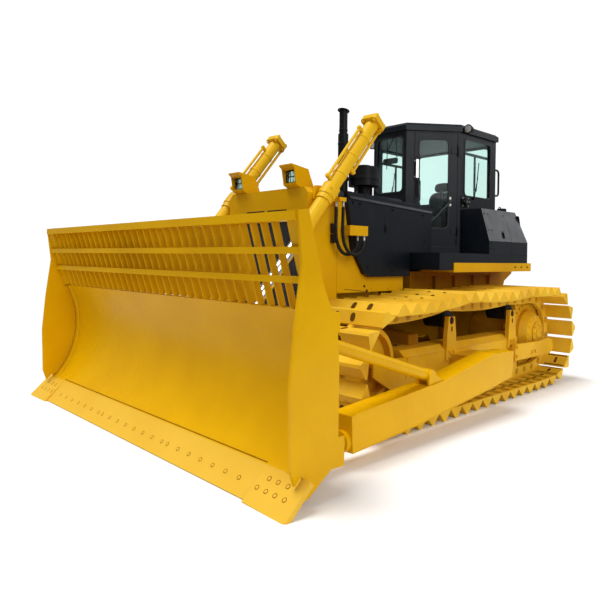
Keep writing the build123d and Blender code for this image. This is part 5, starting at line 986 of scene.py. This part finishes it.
# ---- Door fittings ----
# The pane sits in a rubber seal, and the pull handle stands on a bolted black plate. A grab bar runs below
# it, the stay bar is bolted through the door at both ends, and two hinge leaves show at the rear edge.
GRAB_ALONG, GRAB_OUT = 0.148, 0.034
STAY_BOLTS = ((172, 1915), (172, 2000), (600, 2352), (600, 2438))
PLATE_BOLTS = ((118, 2706), (118, 2914))
for side, hand in ((1, "left"), (-1, "right")):
    soft, dark, bright = bmesh.new(), bmesh.new(), bmesh.new()
    add_seal(soft, door_wall, (167, 2040), (581, 3210))
    add_panel(dark, door_wall, (104, 2650), (186, 2968), 5, corner=30, edge=2)
    for height in (2460, 2640):
        add_rod(dark, door_wall @ Vector((GRAB_ALONG, height * MM, 0)),
                door_wall @ Vector((GRAB_ALONG, height * MM, GRAB_OUT)), 7)
    add_rod(dark, door_wall @ Vector((GRAB_ALONG, 2.445, GRAB_OUT)),
            door_wall @ Vector((GRAB_ALONG, 2.655, GRAB_OUT)), 9)
    out = door_wall.to_3x3().col[2]
    for along, height in STAY_BOLTS:
        add_bolt(bright, door_wall @ Vector((along * MM, height * MM, 0)), out, 22)
    for along, height in PLATE_BOLTS:
        add_bolt(bright, door_wall @ Vector((along * MM, height * MM, 0.005)), out, 11)
    for height in (1870, 3100):
        add_panel(dark, door_wall, (690, height - 50), (706, height + 50), 9, corner=0, edge=2)
    for shape, part, finish, slot in ((soft, "seal", rubber, "hose_rubber"),
                                      (dark, "plates", black, "black_steel"),
                                      (bright, "bolts", steel, "lamp_chrome")):
        if side < 0:
            bmesh.ops.scale(shape, verts=shape.verts[:], vec=(-1, 1, 1))
        make_piece(f"door_{part}_{hand}", shape, finish, f"{hand}_door", slot)

# ---- Cab outside fittings ----
# A spring catch behind each door holds it open. Wipers hang over the front and rear panes and lie across
# the side ones, which have bars behind them, and the roof lamps have round silvered lenses in a rim.
CATCH_PLATE, CATCH_BODY = 0.014, 0.056
CATCH_BOLTS = ((36, 2346, CATCH_PLATE), (174, 2346, CATCH_PLATE), (36, 2446, CATCH_PLATE),
               (174, 2446, CATCH_PLATE), (80, 2396, CATCH_BODY), (130, 2396, CATCH_BODY))
POST_BOLT_ALONG = 70
catch, catch_bright = bmesh.new(), bmesh.new()
add_panel(catch, side_wall, (20, 2330), (190, 2462), 14, corner=10, edge=3)
add_panel(catch, side_wall @ Matrix.Translation((0, 0, CATCH_PLATE)), (52, 2356), (158, 2436), 42,
          corner=12, edge=5)
add_rod(catch, side_wall @ Vector((0.005, 2.40, 0.036)), side_wall @ Vector((0.075, 2.40, 0.036)), 17,
        sides=12)
for along, height, depth in CATCH_BOLTS:
    add_bolt(catch_bright, side_wall @ Vector((along * MM, height * MM, depth)), LEFT, 17)
for height in (1800, 1960, 2120):
    add_bolt(catch_bright, side_wall @ Vector((POST_BOLT_ALONG * MM, height * MM, 0)), LEFT, 12)
make_piece("door_catches", mirrored(catch), black, "machine", "black_steel")
make_piece("door_catch_bolts", mirrored(catch_bright), steel, "machine", "lamp_chrome")


def add_wiper(shape, place, pivot, tip, blade_low, blade_high):
    """A wiper on a wall: a motor cap, two thin arms side by side, and the blade at their tip."""
    def on(spot, depth):
        return place @ Vector((spot[0] * MM, spot[1] * MM, depth * MM))
    add_rod(shape, on(pivot, -2), on(pivot, 20), 15, sides=12)
    for shift in (-6, 6):
        add_rod(shape, on((pivot[0] + shift, pivot[1]), 15), on((tip[0] + shift, tip[1]), 10), 3)
    add_rod(shape, on(blade_low, 5), on(blade_high, 5), 5)
    add_rod(shape, on(blade_low, 0), on(blade_high, 0), 2.5, sides=6)


wipers = bmesh.new()
add_wiper(wipers, front_wall, (360, 3275), (225, 3060), (222, 2830), (228, 3200))
add_wiper(wipers, rear_wall, (700, 3275), (690, 2980), (684, 2700), (696, 3180))
make_piece("front_and_rear_wipers", wipers, black, "machine", "black_steel")
wipers = bmesh.new()
add_wiper(wipers, side_wall, (330, 2462), (430, 2760), (400, 2560), (462, 2960))
make_piece("side_wipers", mirrored(wipers), black, "machine", "black_steel")
bars = bmesh.new()
INNER_FACE = -50 * MM
for low, high in (((90, 3040), (796, 3076)), ((414, 2474), (446, 3058))):
    add_panel(bars, side_wall @ Matrix.Translation((0, 0, INNER_FACE)), low, high, 16, corner=0, edge=3)
make_piece("side_window_bars", mirrored(bars), charcoal, "machine", "charcoal_paint")

lamp_lens, lamp_rim = bmesh.new(), bmesh.new()
CAB_LAMP = at(788, 4502, 3340)
LAMP_LENS = ((0, 0), (0, 50), (4, 50), (8, 38), (10.5, 20), (11, 0))
LAMP_RIM = ((0, 49), (0, 60), (6, 61), (10, 58), (10, 50), (0, 49))
lamp_box_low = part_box("cab_lamps")[0]
lamp_out = Vector((0.0, -1.0, 0.0))
lamp_face = Vector((CAB_LAMP.x, lamp_box_low[1], CAB_LAMP.z))
add_turned(lamp_lens, lamp_face + Vector((0, 0.004, 0)), lamp_out, LAMP_LENS)
add_turned(lamp_rim, lamp_face + Vector((0, 0.006, 0)), lamp_out, LAMP_RIM)
make_piece("cab_lamp_lenses", mirrored(lamp_lens), chrome, "machine", "lamp_chrome")
make_piece("cab_lamp_rims", mirrored(lamp_rim), black, "machine", "black_steel")

# ---- Headliner, mirror and dash ----
# The roof is lined with a moulded dark panel, a mirror hangs behind the front pane, and the dash carries a
# small screen. A lever with a gaiter and a grip stands on each side of the seat, before its armrest.
CEILING = 3262
CEILING_CORNERS = ((215, 3905), (642, 4475), (642, 5335), (-642, 5335), (-642, 4475), (-215, 3905))
GAITER = ((0, 0), (0, 52), (14, 50), (20, 38), (32, 40), (38, 28), (50, 30), (58, 18), (66, 0))
GRIP = ((-34, 0), (-34, 15), (0, 21), (34, 24), (52, 17), (58, 0))
liner = bmesh.new()
liner.faces.new([liner.verts.new(at(*spot, CEILING)) for spot in CEILING_CORNERS])
grown = bmesh.ops.extrude_face_region(liner, geom=liner.faces[:])["geom"]
raised = [part for part in grown if isinstance(part, bmesh.types.BMVert)]
bmesh.ops.translate(liner, verts=raised, vec=(0, 0, 0.04))
bmesh.ops.bevel(liner, geom=liner.edges[:], offset=0.012, affect="EDGES", segments=2, profile=0.5,
                material=-1)
make_piece("headliner", liner, plastic, "machine", "cab_plastic")

inside = bmesh.new()
mirror_place = facing(at(-60, 4020, 0), BACKWARD)
add_panel(inside, mirror_place, (-60, 2930), (180, 3010), 18, corner=24, edge=6)
add_rod(inside, at(0, 4010, 3010), at(0, 3990, 3262), 7)
add_panel(inside, facing(at(0, 4091, 0), BACKWARD), (-170, 2190), (170, 2370), 10, corner=16, edge=4)
for x, lean in ((345, 30), (-345, -20)):
    base = at(x, 4560, 2330)
    add_turned(inside, base, UP, GAITER, segments=20)
    top = at(x + lean, 4520, 2520)
    add_rod(inside, base, top, 9)
    add_turned(inside, top, UP, GRIP, segments=18)
for x in (345, -345):
    add_panel(inside, facing(at(x, 4860, 2440), UP), (-48, -170), (48, 170), 62, corner=26, edge=18)
    add_rod(inside, at(x, 4900, 2330), at(x, 4900, 2445), 20)
make_piece("cab_controls", inside, plastic, "machine", "cab_plastic")
screen = bmesh.new()
add_panel(screen, facing(at(0, 4101, 0), BACKWARD), (-130, 2225), (10, 2335), 3, corner=6, edge=1)
add_panel(screen, facing(at(-60, 4038, 0), BACKWARD), (-50, 2938), (170, 3002), 1.5, corner=20, edge=0.5)
make_piece("screen_and_mirror_glass", screen, chrome, "machine", "lamp_chrome")

# ---- Operator's seat ----
# A sprung seat: a foam cushion, a high back and a headrest, each swollen and covered in black woven cloth.
# The cushion lies on a steel pan, and two tubes carry the back.
SEAT_VOXEL = 0.006
SWELL_FRAMES = 20
FOAM_PRESSURE = 4.0


def start_pad(low, high, crown, shoulder):
    """A block with soft corners, its faces divided, so that it can swell into a cushion."""
    pad = bmesh.new()
    middle = (low + high) / 2
    size = high - low
    bmesh.ops.create_cube(pad, size=1.0, matrix=Matrix.Translation(middle) @ Matrix.Diagonal((*size, 1.0)))
    deep = [edge for edge in pad.edges if abs((edge.verts[0].co - edge.verts[1].co).y) > 0.01]
    bmesh.ops.bevel(pad, geom=deep, offset=shoulder * MM, affect="EDGES", segments=6, profile=0.5,
                    material=-1)
    rims = [edge for edge in pad.edges if edge.calc_face_angle(0.0) > 1.0]
    bmesh.ops.bevel(pad, geom=rims, offset=crown * MM, affect="EDGES", segments=4, profile=0.5, material=-1)
    return pad


def swell(pad, name, cap):
    """Blows a pad up as sewn foam does: remeshed, pressed out by the cloth solver, and held within a cap."""
    bmesh.ops.recalc_face_normals(pad, faces=pad.faces[:])
    mesh = bpy.data.meshes.new(name)
    pad.to_mesh(mesh)
    pad.free()
    piece = bpy.data.objects.new(name, mesh)
    bpy.context.scene.collection.objects.link(piece)
    remesh = piece.modifiers.new("voxels", "REMESH")
    remesh.mode = "VOXEL"
    remesh.voxel_size = SEAT_VOXEL * 1
    bpy.context.view_layer.update()
    remeshed = piece.evaluated_get(bpy.context.evaluated_depsgraph_get())
    piece.data = bpy.data.meshes.new_from_object(remeshed)
    piece.modifiers.clear()
    rest = [point.co.copy() for point in piece.data.vertices]
    cloth = piece.modifiers.new("foam", "CLOTH")
    cloth.settings.use_pressure = True
    cloth.settings.uniform_pressure_force = FOAM_PRESSURE
    cloth.settings.effector_weights.gravity = 0.0
    cloth.point_cache.frame_start = 1
    cloth.point_cache.frame_end = SWELL_FRAMES
    for number in range(1, SWELL_FRAMES + 1):
        bpy.context.scene.frame_set(number)
    pressed = piece.evaluated_get(bpy.context.evaluated_depsgraph_get())
    swollen = bpy.data.meshes.new_from_object(pressed)
    for point, start in zip(swollen.vertices, rest):
        step = point.co - start
        if step.length > cap:
            point.co = start + step.normalized() * cap
    piece.modifiers.clear()
    piece.data = swollen
    bpy.context.scene.frame_set(1)
    return piece


cloth_finish, tree, shader, place = new_finish("seat_cloth", Sheen_Weight=0.25, Specular_IOR_Level=0.2)
weave = tree.nodes.new("ShaderNodeTexWave")
weave.inputs["Scale"].default_value = 150.0
weave.inputs["Distortion"].default_value = 1.5
tree.links.new(place, weave.inputs["Vector"])
thread = blend_colours(tree, weave.outputs["Fac"], (0.014, 0.014, 0.016), (0.034, 0.034, 0.038))
worn_part = ramp(tree, grain(tree, place, 6.0, 4.0), 0.5, 0.8, 0.0, 0.5)
tree.links.new(blend_colours(tree, worn_part, thread, (0.045, 0.045, 0.048)), shader.inputs["Base Color"])
tree.links.new(ramp(tree, weave.outputs["Fac"], 0.0, 1.0, 0.8, 0.95), shader.inputs["Roughness"])
add_relief(tree, shader, weave.outputs["Fac"], 0.0008)

BACK_FOOT, BACK_LEAN = 2.25, 0.155
pads = []
cushion = start_pad(at(-232, 4668, 2136), at(232, 5110, 2234), 34, 40)
pads.append(swell(cushion, "seat_cushion", 0.012))
back = start_pad(at(-222, 5050, 2250), at(222, 5128, 2640), 32, 120)
head = start_pad(at(-138, 5060, 2636), at(138, 5128, 2768), 28, 55)
for shape in (back, head):
    for point in shape.verts:
        point.co.y += (point.co.z - BACK_FOOT) * BACK_LEAN - 0.002
pads.append(swell(back, "seat_back", 0.012))
pads.append(swell(head, "seat_headrest", 0.010))
for pad in pads:
    bpy.context.view_layer.objects.active = pad
    round_off = pad.modifiers.new("smooth", "SUBSURF")
    round_off.levels = round_off.render_levels = 1
    for face in pad.data.polygons:
        face.use_smooth = True
    pad.data.materials.clear()
    pad.data.materials.append(cloth_finish)
    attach(pad, "machine")
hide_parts("seat")

frame_of_seat = bmesh.new()
add_panel(frame_of_seat, Matrix.Translation(at(0, 0, 2120)), (-236, 4660), (236, 5130), 14, corner=30, edge=4)
for x in (-90, 90):
    add_rod(frame_of_seat, at(x, 5130, 2200), at(x, 5176, 2680), 11)
add_rod(frame_of_seat, at(-90, 5100, 2150), at(90, 5100, 2150), 14)
make_piece("seat_frame", frame_of_seat, black, "machine", "black_steel")

# ---- Rack slat edges ----
# Each upright slat of the rack is stiffened by a round bar welded down its front and its rear edge, and the
# slats before the radiator by a flat bar behind.
SLATS, SLAT_REACH, SLAT_HALF_DEPTH = 33, 1847, 27
SLAT_FOOT, SLAT_TOP = (345, 1292), (164, 1868)
MIDDLE_SLATS = 1420
BAR_BEHIND, BAR_THICK, BAR_DEEP = 42, 10, 34
edges_of_slats = bmesh.new()
for number in range(SLATS):
    x = SLAT_REACH * (2 * number / (SLATS - 1) - 1)
    for shift, radius in ((-SLAT_HALF_DEPTH, 6.5), (SLAT_HALF_DEPTH, 7)):
        foot, top = [at(x, spot[0] + shift, spot[1]) for spot in (SLAT_FOOT, SLAT_TOP)]
        add_rod(edges_of_slats, foot, top, radius)
    if abs(x) < MIDDLE_SLATS:
        foot, top = [at(x, spot[0] + BAR_BEHIND, spot[1]) for spot in (SLAT_FOOT, SLAT_TOP)]
        size = Matrix.Diagonal((BAR_THICK * MM, BAR_DEEP * MM, (top - foot).length, 1.0))
        bmesh.ops.create_cube(edges_of_slats, size=1.0, matrix=facing((foot + top) / 2, top - foot) @ size)
make_piece("rack_slat_edges", edges_of_slats, blade_enamel, "blade", "yellow_paint")

# ---- Guard air slots ----
# Two slots over the radiator's window let hot air out. They are not cut: a thin black sheet on the
# guard's front plate stands for each, in painted shade, the dark of the open slot.
air_slot_shades = bmesh.new()
for side in (1, -1):
    low, high = sorted((side * 20, side * 330))
    add_panel(air_slot_shades, facing_front(GUARD_FRONT), (low, 2082), (high, 2134), 1.5, corner=12, edge=0.5)
make_piece("guard_slot_shades", air_slot_shades, black, "machine", "black_steel")

# ---- Dash box fittings ----
# The boxes beside the hood are folded sheet with a lid along the top, held by small black screws and opened
# by a flush latch; a vertical joint divides each side.
LID_ENDS, LID_DROP, LID_LIP, SCREW_DROP = (2236, 3770), 78, 16, 112
FAR_OUT, LID_X = 1500, 690
RIGHT = (-1, 0, 0)
box_dark, box_lid, folded = bmesh.new(), bmesh.new(), bmesh.new()
for station, height in ((2560, 1540), (3000, 1490), (3640, 1850)):
    spot, out = land("dash_boxes", at(FAR_OUT, station, height), RIGHT)
    add_bolt(box_dark, spot, out, 15)
for station in (2300, 2420, 3000, 3600):
    box_top = land("dash_boxes", at(LID_X, station, 3000), DOWN)[0]
    spot, out = land("dash_boxes", box_top + Vector((0.8, 0, -SCREW_DROP * MM)), RIGHT)
    add_bolt(box_dark, spot, out, 20)
for station in LID_ENDS:
    box_top = land("dash_boxes", at(LID_X, station, 3000), DOWN)[0]
    side_spot = land("dash_boxes", box_top + Vector((0.8, 0, -LID_DROP * MM)), RIGHT)[0]
    for x, z in ((0, box_top.z), (0, side_spot.z), (LID_LIP * MM, side_spot.z + 0.004)):
        folded.verts.new((side_spot.x + x, side_spot.y, z))
bmesh.ops.convex_hull(folded, input=folded.verts[:])
make_piece("dash_box_lids", mirrored(folded), charcoal, "machine", "charcoal_paint")
spot, out = land("dash_boxes", at(FAR_OUT, 2950, 1900), RIGHT)
add_panel(box_dark, facing(spot, out) @ Matrix.Translation((0, 0, -0.0005)), (-3, -430), (3, 330), 1.5)
spot, out = land("dash_boxes", at(FAR_OUT, 2870, 1980), RIGHT)
add_panel(box_lid, facing(spot, out), (-26, -60), (26, 60), 6, corner=20, edge=3)
add_panel(box_lid, facing(spot, out) @ Matrix.Translation((0, 0, 0.006)), (-12, -42), (12, 20), 8, corner=8,
          edge=3)
make_piece("dash_box_screws", mirrored(box_dark), black, "machine", "black_steel")
make_piece("dash_box_latches", mirrored(box_lid), black, "machine", "black_steel")

# ---- Deck fittings ----
# The deck is chequered plate, with a steel strip along the outer edge of its rear half; the yellow rail
# under it has three bolts at the rear. Upright beads and a bolt at each join its carrier to the hull.
LOZENGE = 46
TREAD_X, TREAD_STATIONS = (740, 1085), (3400, 4460)
deck_top = bmesh.new()
for row in range(7):
    for column in range(26):
        x = TREAD_X[0] + row * LOZENGE + (column % 2) * LOZENGE / 2
        station = TREAD_STATIONS[0] + column * LOZENGE * 0.85
        if station < TREAD_STATIONS[1] and x < TREAD_X[1] and x > 724 + max(0.0, (station - 4380)):
            lean = 40 if (row + column) % 2 else -40
            turn = facing(at(x, station, 1710), UP) @ Matrix.Rotation(math.radians(lean), 4, "Z")
            add_panel(deck_top, turn, (-13, -3.5), (13, 3.5), 1.8)
make_piece("deck_tread", mirrored(deck_top), black, "machine", "black_steel")

deck_bolts, deck_dark = bmesh.new(), bmesh.new()
# The rail's three bolts are in painted shade, the dark of the shadow under the deck.
for station in (5172, 5350, 5528):
    add_bolt(deck_dark, at(1112, station, 1541), LEFT, 16)
add_panel(deck_bolts, facing_side(1100), (4470, 1700), (5556, 1712), 3, corner=0, edge=1)
make_piece("deck_bolts", mirrored(deck_bolts), black, "machine", "black_steel")
make_piece("strip_bolts", mirrored(deck_dark), painted_shade_iron, "machine", "dark_iron")

ribs = bmesh.new()
for station in (3700, 4240, 4780, 5320):
    add_bead(ribs, at(671, station, 1205), at(671, station, 1480), 6)
    add_bolt(ribs, at(670, station + 60, 1240), LEFT, 26)
make_piece("carrier_beads", mirrored(ribs), shaded_deck_enamel, "machine", "yellow_paint")

# ---- Side box and tank fittings ----
# A latch on a small plate opens each side box, whose sheets are held by small bolts. A lifting ring stands
# on top, and the tank has a filler cap, a drain plug and a bolted clean-out cover at the rear.
LATCH_PLACE = (FAR_OUT, 4900, 1965)
RING_PLACE, RING_SEGMENTS, RING_RADIUS = (905, 5125, 2318), 14, 0.030
slant_spot, slant_out = land("side_boxes", at(*LATCH_PLACE), RIGHT)
slant = facing(slant_spot, slant_out)
latch = bmesh.new()
add_panel(latch, slant, (-24, -58), (24, 58), 3, corner=22, edge=1)
add_panel(latch, slant @ Matrix.Translation((0, 0, 0.003)), (-9, -44), (9, 34), 15, corner=7, edge=4)
ring_spot = at(*RING_PLACE)
bmesh.ops.create_cone(latch, cap_ends=True, segments=12, radius1=0.016, radius2=0.012, depth=0.030,
                      matrix=Matrix.Translation(at(905, 5125, 2310)))
hoop = []
for number in range(RING_SEGMENTS):
    angle = math.tau * number / RING_SEGMENTS
    turn_out = Vector((0.0, RING_RADIUS * math.cos(angle), 0.012 + RING_RADIUS * math.sin(angle)))
    hoop.append(ring_spot + turn_out)
for start, end in zip(hoop, hoop[1:] + hoop[:1]):
    add_rod(latch, start, end + (end - start) * 0.15, 6)
cap_top = land("fuel_tank", at(860, 5270, 3000), DOWN)[0]
cap = ((0, 0), (0, 56), (6, 56), (9, 50), (9, 24), (0.0, 0))
add_turned(latch, cap_top - Vector((0, 0, 0.004)), UP, cap, segments=24)
for station in (4530, 4620, 5040):
    for height in (1780, 2020, 2230):
        if not (station == 5040 and height < 2100):
            spot, out = land("side_boxes", at(FAR_OUT, station, height), RIGHT)
            add_bolt(latch, spot, out, 11)
for height in (1800, 2000, 2200):
    add_bolt(latch, at(760, 4485, height), FORWARD, 16)
make_piece("box_fittings", mirrored(latch), black, "machine", "black_steel")

covers, cover_bolts = bmesh.new(), bmesh.new()
tank_spot, tank_out = land("fuel_tank", at(880, 7000, 2080), FORWARD)
tank_rear = facing(tank_spot, tank_out)
add_panel(covers, tank_rear, (-150, -180), (150, 180), 6, corner=30, edge=3)
for u in (-130, 0, 130):
    for v in (-160, 0, 160):
        if u or v:
            add_bolt(cover_bolts, tank_rear @ Vector((u * MM, v * MM, 0.006)), tank_out, 18)
drain_plug = ((-2, 0), (-2, 26), (5, 26), (8, 16), (18, 15), (18, 0))
add_turned(cover_bolts, at(880, 5560, 1760), BACKWARD, drain_plug, segments=12)
make_piece("tank_covers", mirrored(covers), charcoal, "machine", "charcoal_paint")
make_piece("tank_cover_bolts", mirrored(cover_bolts), black, "machine", "black_steel")

# ---- Hull fittings ----
# The transmission leaves by a bolted cover at the rear, over the drawbar and its pin. Guards under the
# engine and the gearbox are bolted plates with drain holes.
HULL_REAR = 5830
COVER_THICK = 16
COVER_CENTRE = 935
COVER_BOSS = ((-2, 0), (-2, 105), (14, 105), (20, 96), (20, 52), (30, 48), (30, 0))
BELLY_PLATES = (((-360, 2150), (360, 3100)), ((-360, 3130), (360, 4250)))
BELLY_THICK = 14


def facing_rear(station):
    """A plane facing back at a station, measured by -x and height."""
    return facing(at(0, station, 0), BACKWARD)


hull, hull_dark = bmesh.new(), bmesh.new()
add_panel(hull, facing_rear(HULL_REAR), (-330, 770), (330, 1100), COVER_THICK, corner=40, edge=5)
for x in range(-290, 291, 116):
    for height in (802, 1068):
        add_bolt(hull, at(x, HULL_REAR + COVER_THICK, height), BACKWARD, 26)
for height in (868, 935, 1002):
    for x in (-300, 300):
        add_bolt(hull, at(x, HULL_REAR + COVER_THICK, height), BACKWARD, 26)
add_turned(hull, at(0, HULL_REAR + COVER_THICK, COVER_CENTRE), BACKWARD, COVER_BOSS, segments=32)
for place in ring_of(at(0, HULL_REAR + COVER_THICK + 20, COVER_CENTRE), BACKWARD, 76, 8):
    add_bolt(hull, place, BACKWARD, 18)
for low, high in BELLY_PLATES:
    spot, out = land("main_frame", at((low[0] + high[0]) / 2, (low[1] + high[1]) / 2, -500), UP)
    plate = Matrix.Translation(Vector((0, at(0, 0, 0).y, spot.z))) @ Matrix.Rotation(math.pi, 4, "Y")
    add_panel(hull, plate, low, high, BELLY_THICK, corner=30, edge=4)
    for x in (-320, 0, 320):
        for station in (low[1] + 50, (low[1] + high[1]) / 2, high[1] - 50):
            add_bolt(hull, Vector((x * MM, at(0, station, 0).y, spot.z - 0.014)), DOWN, 30)
    # Each drain hole is not cut: it is a thin disc in painted shade, the dark of the open hole.
    for station in (low[1] + 240, high[1] - 240):
        hole = Vector((0, at(0, station, 0).y, spot.z))
        add_rod(hull_dark, hole, hole - Vector((0, 0, 0.0148)), 40, sides=20)
make_piece("hull_covers", hull, enamel, "machine", "yellow_paint")
make_piece("belly_drain_holes", hull_dark, painted_shade_iron, "machine", "dark_iron")

pin = bmesh.new()
pin_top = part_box("drawbar")[1][2] - 0.002
pin_head = ((0, 0), (0, 44), (10, 44), (14, 38), (14, 0))
add_turned(pin, Vector((0, at(0, 5975, 0).y, pin_top)), UP, pin_head, segments=20)
make_piece("drawbar_pin_head", pin, steel, "machine", "dark_iron")
